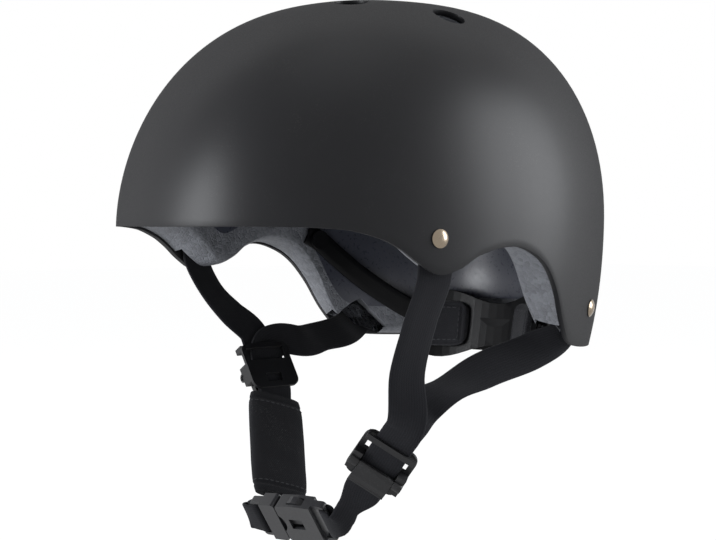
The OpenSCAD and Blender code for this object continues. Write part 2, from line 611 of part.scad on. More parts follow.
// Buckle, local X towards the plug. The socket is open at its mouth, at its two sides and at its face
mouth_x = 6;
cavity_end = -13;
cavity_w = 2 * (buckle_w / 2 - 2);
cavity_t = 5.4;
window_x0 = -10.5;
window_x1 = -1;
arm_t = 4.6;
arm_in = 6.4;
arm_hinge_x = 10;
arm_hinge_y = 8;
arm_root_r = 1.8;
guide_w = 3.6;
module socket_outline() {
    hull() {
        for (s = [-1, 1]) {
            translate([mouth_x - 2, s * (buckle_w / 2 - 2.6)]) circle(2, $fn = 32);
            translate([-6, s * (buckle_w / 2 - 4)]) circle(4, $fn = 32);
            translate([-buckle_l / 2 + 2, s * (web_w / 2 + 0.6)]) circle(2, $fn = 32);
        }
    }
}
web_slot = web_w + 1.6;
module buckle_socket() {
    color([0.17, 0.17, 0.18]) at_buckle() difference() {
        union() {
            difference() {
                translate([0, 0, -buckle_t / 2]) linear_extrude(buckle_t) socket_outline();
                // Thinner round the webbing bar
                for (s = [-1, 1]) translate([-buckle_l / 2 - 1, -buckle_w, s > 0 ? bar_r + 0.9 : -buckle_t])
                    cube([8.2, 2 * buckle_w, buckle_t - bar_r - 0.9]);
                // Slot behind the bar and clearance before it
                translate([socket_bar_x - 3, -web_slot / 2, -buckle_t]) cube([8.4, web_slot, 2 * buckle_t]);
            }
            translate([socket_bar_x, 0, 0]) rotate([90, 0, 0])
                cylinder(h = web_slot + 1, r = bar_r, center = true, $fn = 32);
        }
        translate([cavity_end, -cavity_w / 2, -cavity_t / 2]) cube([mouth_x - cavity_end + 1, cavity_w, cavity_t]);
        // Side windows for the arms' finger pads
        translate([window_x0, -buckle_w, -cavity_t / 2]) cube([window_x1 - window_x0, 2 * buckle_w, cavity_t]);
        // Face window
        translate([-7.5, -3.5, 0]) cube([8, 7, buckle_t]);
        // Thumb rebate at the mouth
        translate([mouth_x + 5.5, 0, -buckle_t]) cylinder(h = 2 * buckle_t, r = 8, $fn = 64);
    }
}
module buckle_plug() {
    color([0.17, 0.17, 0.18]) at_buckle() difference() {
        union() {
            difference() {
                translate([0, 0, -buckle_t / 2]) linear_extrude(buckle_t) hull() for (s = [-1, 1]) {
                    translate([mouth_x + 2.5, s * (buckle_w / 2 - 2.2)]) circle(2, $fn = 32);
                    translate([buckle_l / 2 - 2, s * (web_w / 2 + 0.6)]) circle(2, $fn = 32);
                }
                for (s = [-1, 1]) translate([buckle_l / 2 - 7.2, -buckle_w, s > 0 ? bar_r + 0.9 : -buckle_t])
                    cube([8.2, 2 * buckle_w, buckle_t - bar_r - 0.9]);
                translate([plug_bar_x - 5.4, -web_slot / 2, -buckle_t]) cube([8.4, web_slot, 2 * buckle_t]);
            }
            translate([plug_bar_x, 0, 0]) rotate([90, 0, 0])
                cylinder(h = web_slot + 1, r = bar_r, center = true, $fn = 32);
            // Centre guide
            translate([-9, -guide_w / 2, -cavity_t / 2 + 0.3]) cube([mouth_x + 11, guide_w, cavity_t - 0.6]);
        }
        // Seats for the arms' roots
        for (s = [-1, 1]) {
            translate([arm_hinge_x, s * arm_hinge_y, -arm_t / 2 - 0.15])
                cylinder(h = arm_t + 0.3, r = arm_root_r + 0.05, $fn = 32);
            translate([0, s * arm_hinge_y - arm_root_r - 1, -arm_t / 2 - 0.15])
                cube([arm_hinge_x, 2 * arm_root_r + 1.4, arm_t + 0.3]);
        }
    }
}
// An arm flexes at its root; its pad fills the side window and its shoulder latches on the window's edge
module arm() {
    translate([0, 0, -arm_t / 2]) {
        linear_extrude(arm_t) polygon([[arm_hinge_x, arm_hinge_y - 1.2], [arm_hinge_x, arm_hinge_y + 1.2],
            [window_x1 - 0.4, arm_hinge_y + 2.2], [window_x1 - 0.6, buckle_w / 2 + 0.3],
            [window_x1 - 3, buckle_w / 2 + 0.9], [window_x0 + 3.5, buckle_w / 2 + 0.4],
            [window_x0 + 0.5, buckle_w / 2 - 2.4], [window_x0 + 0.3, arm_in], [0, arm_in]]);
        translate([arm_hinge_x, arm_hinge_y, 0]) cylinder(h = arm_t, r = arm_root_r, $fn = 32);
    }
}
module upper_arm() {
    color([0.17, 0.17, 0.18]) at_buckle() mirror([0, 1, 0]) arm();
}
module lower_arm() {
    color([0.17, 0.17, 0.18]) at_buckle() arm();
}

// Chin pad sleeve with a tunnel for the doubled webbing, crowned towards the chin
tunnel_w = web_w + 1.2;
pad_drop = 2;
tunnel_t = 2 * (ply + web_t / 2) + 0.8;
module chin_pad() {
    mid = mix(chin_top, chin_foot, 0.5) + chin_dir * pad_drop;
    n = 12;
    m = 9;
    // Half section as a rounded band, thinner at both ends
    function sec(i, s) = let(u = 2 * i / n - 1, e = 1 - 0.10 * pow(abs(u), 6), f = 1 - 0.32 * pow(abs(u), 4))
        [for (j = [0:m]) let(v = 2 * j / m - 1) [u * chin_pad_l / 2, v * chin_pad_w / 2 * e,
            s * (1.1 + (chin_pad_t / 2 - 1.1) * f * sqrt(max(0, 1 - pow(abs(v), 3.2))))]];
    color([0.12, 0.12, 0.13]) placed(mid, chin_dir, chin_n) difference() {
        slab([for (i = [0:n]) sec(i, 1)], [for (i = [0:n]) sec(i, -1)]);
        translate([-chin_pad_l, -tunnel_w / 2, -tunnel_t / 2]) cube([2 * chin_pad_l, tunnel_w, tunnel_t]);
    }
}

// Fit bands run from the temple anchors along the liner to the racks in the dial housing
gear_r = gear_module * pinion_teeth / 2;
rack_y = mech_y + 3.1;
rack_t = 3;
rack_off = gear_r + gear_module + 1.6;
rack_root = 31;
function band_pt(side, a, z) = let(p = dome(a, z, band_inset)) [side * p.x, p.y, p.z];
function band_route(side) = concat(
    [for (s = [[100.5, -5.5], [104, -9], [110, -18], [117, -28], [125, -37.5], [134, -46.5], [143, -53.5],
        [151, -58 + 2 * side]])
        [band_pt(side, s.x, s.y), [0, 0, 1], band_w]],
    [[[side * 41, rack_y - 3.2, mech_z + side * (rack_off - 0.6)], [0, 0, 1], mix(band_w, 5, 0.6)],
     [[side * 36, rack_y - 0.6, mech_z + side * rack_off], [0, 0, 1], 5],
     [[side * (rack_root + 0.3), rack_y, mech_z + side * rack_off], [0, 0, 1], 4.4]]);
module band(side) {
    difference() {
        ribbon(band_route(side), band_t);
        at_anchor(side) translate([0, 0, -5]) cylinder(h = 10, d = anchor_d + 0.3, $fn = 32);
    }
}
module at_anchor(side) {
    p = band_pt(side, anchor_a, anchor_z);
    q = dome_normal(anchor_a, anchor_z);
    placed(p, [0, 0, 1], [side * q.x, q.y, q.z]) children();
}
module left_band() {
    color([0.07, 0.07, 0.075]) band(1);
}
module right_band() {
    color([0.07, 0.07, 0.075]) band(-1);
}
module band_anchors() {
    color([0.08, 0.08, 0.085]) for (side = [-1, 1]) at_anchor(side) {
        translate([0, 0, -band_t / 2 - 2.4]) cylinder(h = 2, d = 11, $fn = 48);
        translate([0, 0, -band_t / 2 - 2]) cylinder(h = 2 + band_t + 9, d = anchor_d, $fn = 32);
    }
}

// Rack along X above or below the pinion, teeth towards it, pressure angle 20 degrees
press = 20;
backlash = 0.12;
gear_pitch = PI * gear_module;
module rack_profile(l0, l1, lift) {
    half = gear_pitch / 4 - backlash / 2;
    union() {
        translate([l0, gear_module * 1.1]) square([l1 - l0, lift]);
        for (i = [ceil(l0 / gear_pitch):floor(l1 / gear_pitch) - 1]) translate([(i + 0.5) * gear_pitch, 0])
            polygon([[-half - 1.2 * gear_module * tan(press), 1.2 * gear_module],
                [-half + 0.9 * gear_module * tan(press), -0.9 * gear_module],
                [half - 0.9 * gear_module * tan(press), -0.9 * gear_module],
                [half + 1.2 * gear_module * tan(press), 1.2 * gear_module]]);
    }
}
rack_tip = 11;
module rack() {
    translate([0, rack_y + rack_t / 2, mech_z + gear_r]) rotate([90, 0, 0])
        linear_extrude(rack_t) rack_profile(-rack_tip, rack_root, 2.4);
}
module left_rack() {
    color([0.07, 0.07, 0.075]) rack();
}
module right_rack() {
    color([0.07, 0.07, 0.075]) translate([0, 0, mech_z]) rotate([0, 180, 0]) translate([0, 0, -mech_z]) rack();
}

// Pinion with involute flanks; a tooth gap faces each rack tooth at rest
shaft_d = 6;
shaft_play = 0.05;
base_r = gear_r * cos(press);
function involute(r) = let(c = sqrt(max(0, pow(r / base_r, 2) - 1)) * 180 / PI) c - atan(c * PI / 180);
module pinion() {
    half = 90 / pinion_teeth - backlash / 4 / gear_r * 180 / PI + involute(gear_r);
    tip_r = gear_r + 0.9 * gear_module;
    root_r = gear_r - 1.15 * gear_module;
    radii = [for (k = [0:5]) mix(max(base_r, root_r), tip_r, k / 5)];
    color([0.9, 0.9, 0.88]) translate([0, rack_y + rack_t / 2, mech_z]) rotate([90, 0, 0]) {
        linear_extrude(rack_t) {
            circle(root_r, $fn = 48);
            for (i = [0:pinion_teeth - 1]) rotate(360 * i / pinion_teeth + 90) polygon(concat(
                [[0, 0]],
                [for (r = radii) let(t = half - involute(r)) [r * cos(t), r * sin(t)]],
                [for (k = [5:-1:0]) let(t = half - involute(radii[k])) [radii[k] * cos(t), -radii[k] * sin(t)]]));
        }
    }
    color([0.9, 0.9, 0.88]) translate([0, rack_y + rack_t / 2 - 0.5, mech_z]) rotate([-90, 0, 0])
        cylinder(h = cover_back - rack_y - rack_t / 2 + 0.5 + 5, d = shaft_d, $fn = 48);
}

// Housing on the cradle's back: a base with side walls and a cover that carries the shaft
housing_front = mech_y;
cover_front = rack_y + rack_t / 2 + 0.15;
cover_back = cover_front + 1.8;
module housing_outline() {
    hull() for (x = [-1, 1], z = [-1, 1])
        translate([x * (housing_w / 2 - 4), z * (housing_h / 2 - 4)]) circle(4, $fn = 32);
}
rack_height = gear_module * 1.1 + 2.4;
module dial_housing() {
    color([0.08, 0.08, 0.085]) difference() {
        translate([0, cover_front - 0.05, mech_z]) rotate([90, 0, 0])
            linear_extrude(cover_front - 0.05 - housing_front) housing_outline();
        translate([-housing_w, rack_y - rack_t / 2 - 0.1, mech_z - gear_r - rack_height - 0.15])
            cube([2 * housing_w, rack_t + 5, 2 * (gear_r + rack_height + 0.15)]);
        for (x = [-1, 1], z = [-1, 1]) translate([x * 22, housing_front - 3, mech_z + z * 9.7])
            rotate([-90, 0, 0]) cylinder(h = 10, d = 1.2, $fn = 20);
    }
}
module dial_cover() {
    color([0.08, 0.08, 0.085]) difference() {
        translate([0, cover_back, mech_z]) rotate([90, 0, 0])
            linear_extrude(cover_back - cover_front) housing_outline();
        translate([0, cover_front - 2, mech_z]) rotate([-90, 0, 0])
            cylinder(h = 10, d = shaft_d + 2 * shaft_play, $fn = 48);
    }
}
dial_gap = 0.25;
module fit_dial() {
    color([0.09, 0.09, 0.095]) translate([0, cover_back + dial_gap, mech_z]) rotate([-90, 0, 0]) difference() {
        union() {
            cylinder(h = dial_t - 1.2, d = dial_d, $fn = 96);
            translate([0, 0, dial_t - 1.2]) cylinder(h = 1.2, d1 = dial_d, d2 = dial_d - 3, $fn = 96);
        }
        for (i = [0:dial_grips - 1]) rotate(360 * i / dial_grips) translate([dial_d / 2 + 1.1, 0, -1])
            cylinder(h = dial_t + 2, r = 2.2, $fn = 24);
        translate([0, 0, dial_t - 1]) difference() {
            cylinder(h = 2, d = dial_d - 9, $fn = 64);
            translate([0, 0, -1]) cylinder(h = 4, d = dial_d - 13, $fn = 64);
        }
        translate([0, 0, -1]) cylinder(h = 6 - dial_gap, d = shaft_d + 2 * shaft_play, $fn = 48);
    }
}

// Cradle: two lobes behind the head joined by a bridge that carries the housing
cradle_span = 43;
lobe_at = 26;
lobe_h = 19.5;
bridge_h = 12;
cradle_z = -57.5;
cradle_back = 31.2;
function lobe(u) = let(w = abs(u)) w < lobe_at
    ? mix(bridge_h, lobe_h, smooth(w / lobe_at))
    : lobe_h * sqrt(max(0.03, 1 - pow((w - lobe_at) / (cradle_span - lobe_at), 2.4)));
function cradle_grid(d, grow) = [for (i = [0:24]) let(u = cradle_span * (i / 12 - 1) * grow)
    [for (j = [0:6]) dome(180 + u, cradle_z + lobe(u / grow) * grow * (j / 3 - 1), d)]];
module cradle() {
    color([0.075, 0.075, 0.08]) {
        difference() {
            union() {
                slab(cradle_grid(cradle_back + cradle_t, 1), cradle_grid(cradle_back, 1));
                translate([-20, housing_front - 4, mech_z - 6]) cube([40, 3.75, 14]);
            }
            for (x = [-1, 1]) translate([x * 22, housing_front - 20, mech_z + 9.7])
                rotate([-90, 0, 0]) cylinder(h = 30, d = 1.6, $fn = 20);
        }
    }
}
module cradle_pads() {
    base = cradle_back + cradle_t + 0.5;
    color([0.2, 0.2, 0.21]) both_sides()
        pad(180 - 38, 180 - 13, cradle_z - 13, cradle_z + 13, 4.5, base);
}

outer_shell();
eps_liner();
brow_pad();
left_side_pad();
right_side_pad();
crown_pad();
front_rivets();
rear_rivets();
rivet_washers();
left_strap();
right_strap();
left_divider();
left_cam();
right_divider();
right_cam();
buckle_socket();
buckle_plug();
upper_arm();
lower_arm();
chin_pad();
left_band();
right_band();
band_anchors();
left_rack();
right_rack();
cradle();
cradle_pads();
dial_housing();
dial_cover();
pinion();
fit_dial();
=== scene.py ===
"""Skate helmet: the dressed pieces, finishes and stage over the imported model."""
import math

import bmesh
import bpy
from bpy.props import FloatProperty, FloatVectorProperty, PointerProperty
from mathutils import Matrix, Vector, noise


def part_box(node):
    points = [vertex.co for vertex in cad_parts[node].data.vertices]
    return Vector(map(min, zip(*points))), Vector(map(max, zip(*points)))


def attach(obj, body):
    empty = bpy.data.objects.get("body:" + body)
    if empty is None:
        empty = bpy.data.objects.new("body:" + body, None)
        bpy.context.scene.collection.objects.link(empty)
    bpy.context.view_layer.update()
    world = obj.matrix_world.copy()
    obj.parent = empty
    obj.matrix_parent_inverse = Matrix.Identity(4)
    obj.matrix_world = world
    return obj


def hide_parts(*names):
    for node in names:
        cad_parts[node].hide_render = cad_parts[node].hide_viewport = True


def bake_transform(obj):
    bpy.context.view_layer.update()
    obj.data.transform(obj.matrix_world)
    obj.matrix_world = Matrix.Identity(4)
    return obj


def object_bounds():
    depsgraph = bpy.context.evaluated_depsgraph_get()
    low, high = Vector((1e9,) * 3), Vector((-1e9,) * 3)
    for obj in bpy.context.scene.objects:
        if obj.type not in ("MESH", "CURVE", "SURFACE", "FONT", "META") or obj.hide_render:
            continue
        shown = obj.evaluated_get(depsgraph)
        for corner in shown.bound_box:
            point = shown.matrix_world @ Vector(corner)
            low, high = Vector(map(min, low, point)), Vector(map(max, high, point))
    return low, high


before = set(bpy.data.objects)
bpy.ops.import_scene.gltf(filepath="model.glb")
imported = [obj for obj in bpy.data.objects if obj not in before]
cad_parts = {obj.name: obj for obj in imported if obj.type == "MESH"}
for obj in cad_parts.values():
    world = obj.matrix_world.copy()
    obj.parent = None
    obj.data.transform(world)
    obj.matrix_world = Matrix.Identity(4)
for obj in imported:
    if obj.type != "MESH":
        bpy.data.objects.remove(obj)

bl_info = {
    "name": "Skate helmet",
    "version": (1, 0, 0),
    "blender": (4, 5, 0),
    "location": "3D View > Sidebar > Skate helmet",
    "description": "Shell, liner, pads, webbing, fit ring and finishes of a skate helmet",
    "category": "Object",
}

MM = 0.001
CAD_BOX = [list(corner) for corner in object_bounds()]
SIDES = ((1, "left"), (-1, "right"))
MIRROR = Matrix.Scale(-1, 4, (1, 0, 0))

# Shape of the dome, in mm and degrees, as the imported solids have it
DOME_POWER, PLAN_POWER = 2.64, 2.3
SKIRT_TUCK, CROWN_LEAN = 0.07, 0.08
RIM_MARKS = [(-20, -1), (0, -1), (30, -1), (52, -2.5), (61, -7), (66, -12.5), (70, -19),
             (75, -25), (80, -22), (84, -15.9), (91, -11.2), (96.5, -15.2), (100.5, -22),
             (104.5, -33.8), (108.5, -49.4), (113, -60.7), (119, -65), (140, -66), (180, -65),
             (200, -65)]
RIVET_SPOTS = [(74.8, -7, 0), (125.2, -45, 45)]
VENT_SPOTS = [(25, -32), (57, 9), (25, 50)]

# Clearances, depths and heights over the rim under the shell, in mm
LINER_GAP, PAD_GAP, BAND_GAP = 0.3, 0.7, 1.8
WEB_INSET, POCKET_ROOM, WASHER_ROOM = 1.27, 1.42, 3.4
# The last of these: up to that height over the rim the inside takes the lighter edge finish, which
# is partly painted light near the opening
LINER_RISE, SKIN_RISE, FOAM_AND_LIGHT_MARGIN = 1.2, 4.7, 19
TAIL_THIN, TAIL_FROM, TAIL_SPAN = 6, -28, 36

# Cushions and their sewing: shares of a pad's width and height, then mm
PAD_RIM, SEAM_IN = 0.08, 0.14
CORNER_SIDE, CORNER_END = 0.14, 0.22
PAD_EDGE, SEAM_DEEP, STITCH_PITCH = 2.2, 0.7, 3.2


def length(label, about, value):
    return FloatProperty(name=label, description=about, default=value, unit="LENGTH")


def colour(label, about, value):
    return FloatVectorProperty(name=label, description=about, default=value, size=3, min=0, max=1,
                               subtype="COLOR")


class HelmetSizes(bpy.types.PropertyGroup):
    """Sizes of the dressed helmet"""
    width: length("Shell width", "Outside width of the shell", 0.220)
    front: length("Shell front", "Reach of the shell ahead of its middle", 0.141)
    rear: length("Shell rear", "Reach of the shell behind its middle", 0.135)
    height: length("Crown height", "Height of the crown above the rim line", 0.1215)
    shell_wall: length("Shell wall", "Thickness of the hard shell", 0.003)
    liner_wall: length("Liner wall", "Thickness of the foam liner", 0.020)
    vent: length("Vent", "Diameter of the vents", 0.018)
    web_width: length("Webbing width", "Width of the webbing", 0.020)
    web_thick: length("Webbing thickness", "Thickness of the webbing", 0.0015)
    band_width: length("Fit band width", "Width of the fit bands", 0.012)
    pad_thick: length("Pad thickness", "Thickness of the comfort pads", 0.007)


class HelmetColours(bpy.types.PropertyGroup):
    """Colours of the finishes"""
    shell: colour("Shell", "Matt plastic of the shell", (0.0075, 0.0075, 0.0085))
    # Liner skin: a dark skin colour whose blue tint and lift are a painted bluish sheen
    skin: colour("Liner skin", "Smooth inner face of the liner", (0.035, 0.037, 0.049))
    # Liner edge: the foam's bead tone, made lighter than the skin partly as painted light from
    # below on the rim and the low inside band
    foam: colour("Liner edge", "Cut edge of the foam liner", (0.120, 0.123, 0.133))
    cloth: colour("Pads", "Cloth over the comfort pads", (0.018, 0.018, 0.020))
    sleeve: colour("Chin sleeve", "Cloth of the chin pad", (0.0125, 0.0125, 0.0138))
    webbing: colour("Webbing", "Woven webbing", (0.0135, 0.0135, 0.0152))
    fitting: colour("Fittings", "Plastic of buckle, dividers and levers", (0.007, 0.007, 0.0078))
    ring: colour("Fit ring", "Plastic of the cradle, bands and dial", (0.0035, 0.0035, 0.004))
    metal: colour("Rivets", "Plated steel of the rivets", (0.25, 0.205, 0.155))


def mm(size):
    """A size of the panel, in mm."""
    return getattr(bpy.context.scene.helmet_sizes, size) / MM


# ---------------------------------------------------------------- dome
def signed_power(value, power):
    return math.copysign(abs(value) ** power, value)


def sin(deg):
    return math.sin(math.radians(deg))


def cos(deg):
    return math.cos(math.radians(deg))


def mix(a, b, t):
    return a + (b - a) * t


def smooth(t):
    t = min(1.0, max(0.0, t))
    return t * t * (3 - 2 * t)


def groove(t, middle, wide):
    """1 in the middle of a sunk line, falling to 0 beside it."""
    return math.exp(-((t - middle) / wide) ** 2)


def hermite(p, q, mp, mq, t):
    """Between p and q, which it leaves and reaches with the slopes mp and mq."""
    return (p * (2 * t ** 3 - 3 * t * t + 1) + mp * (t ** 3 - 2 * t * t + t)
            + q * (3 * t * t - 2 * t ** 3) + mq * (t ** 3 - t * t))


def level(z, h):
    """Share of the full plan that the dome has at a height, h being its crown's."""
    if z < 0:
        return 1 - SKIRT_TUCK * (z / 70) ** 2
    return max(0.0, 1 - (z / h) ** 2) ** (1 / DOME_POWER)


def lean(z):
    """How far back the dome's middle lies at a height."""
    return CROWN_LEAN * (z + math.hypot(z, 20)) / 2


def dome(a, z, inset=0.0):
    """Point of the dome, in mm, at a plan angle from the front and a height, some way inside."""
    g = level(z, mm("height") - inset)
    along = mm("front" if cos(a) > 0 else "rear") - inset
    return Vector(((mm("width") / 2 - inset) * signed_power(sin(a), 2 / PLAN_POWER) * g,
                   -along * signed_power(cos(a), 2 / PLAN_POWER) * g + lean(z), z))


def tangents(a, z):
    """Steps round and up the shell's outside, over 2 degrees and 2 mm."""
    return dome(a + 1, z) - dome(a - 1, z), dome(a, z + 1) - dome(a, z - 1)


def rim_z(angle):
    """Height of the shell's rim at a plan angle."""
    a = angle % 360
    a = 360 - a if a > 180 else a
    i = 1
    while i < len(RIM_MARKS) - 3 and a >= RIM_MARKS[i + 1][0]:
        i += 1
    (x0, y0), (x1, y1), (x2, y2), (x3, y3) = RIM_MARKS[i - 1:i + 3]
    w = x2 - x1
    return hermite(y1, y2, (y2 - y0) / (x2 - x0) * w, (y3 - y1) / (x3 - x1) * w, (a - x1) / w)


def turn_of(z, h):
    """Height as degrees on a circle as high as the crown, straight down below the rim line."""
    return math.degrees(z / h) if z < 0 else math.degrees(math.asin(min(1.0, z / h)))


def height_of(q, h):
    return math.radians(q) * h if q < 0 else h * sin(q)


def row_height(a, rise, share, h):
    """Height at a share of the way from a line over the rim to the crown at h."""
    return height_of(mix(turn_of(rim_z(a) + rise, h), 90, share), h)


def on_row(a, rise, share, inset):
    """Point of the dome at a share of the way from a line over the rim to the crown."""
    return dome(a, row_height(a, rise, share, mm("height") - inset), inset)


def placed(origin, x, n):
    """Matrix of a frame in mm, its X along x and its Z near n."""
    ax = Vector(x).normalized()
    az = (Vector(n) - Vector(n).dot(ax) * ax).normalized()
    ay = az.cross(ax)
    m = Matrix((ax, ay, az)).transposed().to_4x4()
    m.translation = Vector(origin)
    return m


def on_dome(a, z, side):
    """Frame on the shell's outside, its Z straight out of it."""
    along, up = tangents(a, z)
    m = placed(dome(a, z), along, along.cross(up).normalized())
    return MIRROR @ m if side < 0 else m


def vent_frame(spot, side):
    """Frame on the shell at a vent's place in plan."""
    y = spot[1] - lean(mm("height"))
    sx, sy = spot[0] / (mm("width") / 2), -y / mm("front" if y < 0 else "rear")
    a = math.degrees(math.atan2(signed_power(sx, PLAN_POWER / 2), signed_power(sy, PLAN_POWER / 2)))
    g = (abs(sx) ** PLAN_POWER + abs(sy) ** PLAN_POWER) ** (1 / PLAN_POWER)
    return on_dome(a, mm("height") * math.sqrt(1 - g ** DOME_POWER), side)


# ---------------------------------------------------------------- mesh tools
def lofted(columns, rows, place, laid=lambda u, v: (u, v)):
    """Grid carried to its place in mm, with a UV of its own, welded where its sides meet."""
    bm = bmesh.new()
    bmesh.ops.create_grid(bm, x_segments=columns, y_segments=rows, size=0.5)
    uv = bm.loops.layers.uv.new("UVMap")
    for face in bm.faces:
        for loop in face.loops:
            loop[uv].uv = laid(loop.vert.co.x + 0.5, loop.vert.co.y + 0.5)
    for v in bm.verts:
        v.co = Vector(place(v.co.x + 0.5, v.co.y + 0.5)) * MM
    bmesh.ops.remove_doubles(bm, verts=bm.verts, dist=2e-6)
    return bm


def closed(bm):
    ends = [e for e in bm.edges if e.is_boundary]
    if ends:
        bmesh.ops.holes_fill(bm, edges=ends, sides=0)
    bmesh.ops.recalc_face_normals(bm, faces=bm.faces)
    return bm


def add_cylinder(bm, matrix, radius, low, high):
    made = bmesh.ops.create_cone(bm, cap_ends=True, segments=64, radius1=radius, radius2=radius,
                                 depth=high - low)["verts"]
    bmesh.ops.translate(bm, verts=made, vec=(0, 0, (low + high) / 2))
    bmesh.ops.transform(bm, verts=made, matrix=Matrix.Scale(MM, 4) @ matrix)


def add_block(bm, matrix, low, high):
    low, high = Vector(low), Vector(high)
    made = bmesh.ops.create_cube(bm, size=1)["verts"]
    bmesh.ops.scale(bm, verts=made, vec=high - low)
    bmesh.ops.translate(bm, verts=made, vec=(high + low) / 2)
    bmesh.ops.transform(bm, verts=made, matrix=Matrix.Scale(MM, 4) @ matrix)


def vent_cuts(low, high):
    """Bores of the six vents between two heights over the shell."""
    cuts = bmesh.new()
    for side in (-1, 1):
        for spot in VENT_SPOTS:
            add_cylinder(cuts, vent_frame(spot, side), mm("vent") / 2, low, high)
    return cuts


def mesh_of(name, bm):
    mesh = bpy.data.meshes.new(name)
    bm.to_mesh(mesh)
    bm.free()
    return mesh


def new_object(name, data):
    obj = bpy.data.objects.new(name, data)
    bpy.context.scene.collection.objects.link(obj)
    return obj


def shade(mesh, crease):
    """Smooth faces, with sharp edges above the crease angle."""
    mesh.shade_smooth()
    mesh.set_sharp_from_angle(angle=math.radians(crease))


def piece(name, bm, body, replaces=(), materials=(), crease=40):
    """Object of a finished bmesh, riding on a body."""
    mesh = mesh_of(name, bm)
    obj = new_object(name, mesh)
    for m in materials:
        mesh.materials.append(m)
    shade(mesh, crease)
    if body:
        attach(obj, body)
    if replaces:
        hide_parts(*replaces)
    return obj


def apply_modifiers(obj):
    graph = bpy.context.evaluated_depsgraph_get()
    mesh = bpy.data.meshes.new_from_object(obj.evaluated_get(graph), preserve_all_data_layers=True,
                                           depsgraph=graph)
    old = obj.data
    obj.modifiers.clear()
    obj.data = mesh
    bpy.data.meshes.remove(old)


def carve(obj, cutter, edge_slot=0):
    """Takes a bmesh away from an object; the new faces get the material slot given."""
    for face in cutter.faces:
        face.material_index = edge_slot
    bmesh.ops.recalc_face_normals(cutter, faces=cutter.faces)
    mesh = mesh_of("cutter", cutter)
    for slot in obj.data.materials:
        mesh.materials.append(slot)
    tool = new_object("cutter", mesh)
    cut = obj.modifiers.new("Cut", "BOOLEAN")
    cut.operation, cut.solver, cut.object = "DIFFERENCE", "EXACT", tool
    before = len(obj.data.polygons)
    apply_modifiers(obj)
    if len(obj.data.polygons) < before / 3:
        raise RuntimeError(f"{obj.name}: the cut took away the whole piece")
    bpy.data.objects.remove(tool)
    bpy.data.meshes.remove(mesh)


def add_bevel(obj, width, crease, harden=False):
    bevel = obj.modifiers.new("Bevel", "BEVEL")
    bevel.width, bevel.segments, bevel.limit_method = width, 2, "ANGLE"
    bevel.angle_limit = math.radians(crease)
    bevel.harden_normals = harden


def soften(obj, width, crease=35):
    """Rounds the sharp edges and makes the rounding part of the mesh."""
    add_bevel(obj, width, crease)
    apply_modifiers(obj)
    shade(obj.data, crease)


def sew(bm, place, route):
    """Stitches along a route over a surface in mm, each a grain of thread half sunk in it."""
    def at(u, v):
        return Vector(place(u, v))

    near = 0.004
    walked, last = 0.0, at(*route[0])
    for u, v in route[1:]:
        spot = at(u, v)
        walked += (spot - last).length
        heading, last = spot - last, spot
        if walked < STITCH_PITCH or heading.length < 1e-4:
            continue
        walked = 0.0
        rise = (at(u + near, v) - at(u - near, v)).cross(at(u, v + near) - at(u, v - near))
        made = bmesh.ops.create_icosphere(bm, subdivisions=2, radius=1)["verts"]
        bmesh.ops.scale(bm, verts=made, vec=(0.39 * STITCH_PITCH, 0.30, 0.26))
        bmesh.ops.transform(bm, verts=made,
                            matrix=Matrix.Scale(MM, 4) @ placed(spot, heading, rise))


def around(corners):
    """Points along the closed line through the corners."""
    ring, steps = corners + corners[:1], 90
    return [(mix(a[0], b[0], k / steps), mix(a[1], b[1], k / steps))
            for a, b in zip(ring, ring[1:]) for k in range(steps)] + corners[:1]


# ---------------------------------------------------------------- shader tools
def feed(tree, socket, value):
    """Joins a socket to another one, or gives it a fixed value."""
    if isinstance(value, bpy.types.NodeSocket):
        tree.links.new(value, socket)
    else:
        socket.default_value = value


def add(tree, kind, inputs, **settings):
    """Node with its settings, its inputs fed by name or number."""
    node = tree.nodes.new("ShaderNode" + kind)
    for key, value in settings.items():
        setattr(node, key, value)
    for key, value in inputs.items():
        feed(tree, node.inputs[key], value)
    return node


def maths(tree, operation, a, b=0):
    return add(tree, "Math", {0: a, 1: b}, operation=operation).outputs[0]


def plus(tree, a, b):
    return maths(tree, "ADD", a, b)


def times(tree, a, b):
    return maths(tree, "MULTIPLY", a, b)


def mottle(tree, place, scale, detail=2.0, rough=0.5):
    return add(tree, "TexNoise", {"Vector": place, "Scale": scale, "Detail": detail,
                                  "Roughness": rough}).outputs["Fac"]


def ranged(tree, value, low, high, to_low=0.0, to_high=1.0):
    """A value that is carried from one range to another and kept inside it."""
    return add(tree, "MapRange", {"Value": value, "From Min": low, "From Max": high,
                                  "To Min": to_low, "To Max": to_high}).outputs["Result"]


def blended(tree, factor, low, high):
    """Colour between two, each a colour or a socket."""
    node = add(tree, "Mix", {"Factor": factor}, data_type="RGBA")
    for label, value in (("A", low), ("B", high)):
        sock = next(s for s in node.inputs if s.name == label and s.type == "RGBA")
        feed(tree, sock, value if isinstance(value, bpy.types.NodeSocket) else (*value[:3], 1))
    return next(s for s in node.outputs if s.type == "RGBA")


def mixed(tree, share, first, second):
    return add(tree, "MixShader", {0: share, 1: first.outputs[0], 2: second.outputs[0]})


# ---------------------------------------------------------------- shared effects
def grain(tree, place, scale, scuffs):
    """Fine moulded grain with broad tonal drift and stray scuffs."""
    drawn_out = add(tree, "Mapping", {"Vector": place, "Rotation": (0.5, 0.9, 0.3),
                                      "Scale": (900.0, 40.0, 60.0)}).outputs["Vector"]
    thin = ranged(tree, mottle(tree, drawn_out, 1.0), 0.68, 0.78)
    return {"Height": mottle(tree, place, scale, 3.0, 0.55),
            "Drift": mottle(tree, place, 18.0, 4.0), "Scuff": times(tree, thin, scuffs)}


def dust(tree, place, amount):
    """Faint dust that gathers in patches and specks."""
    patches = ranged(tree, mottle(tree, place, 45.0, 6.0), 0.48, 0.75)
    specks = ranged(tree, mottle(tree, place, 1800.0, 1.0), 0.62, 0.72)
    return {"Mask": times(tree, times(tree, patches, specks), amount)}


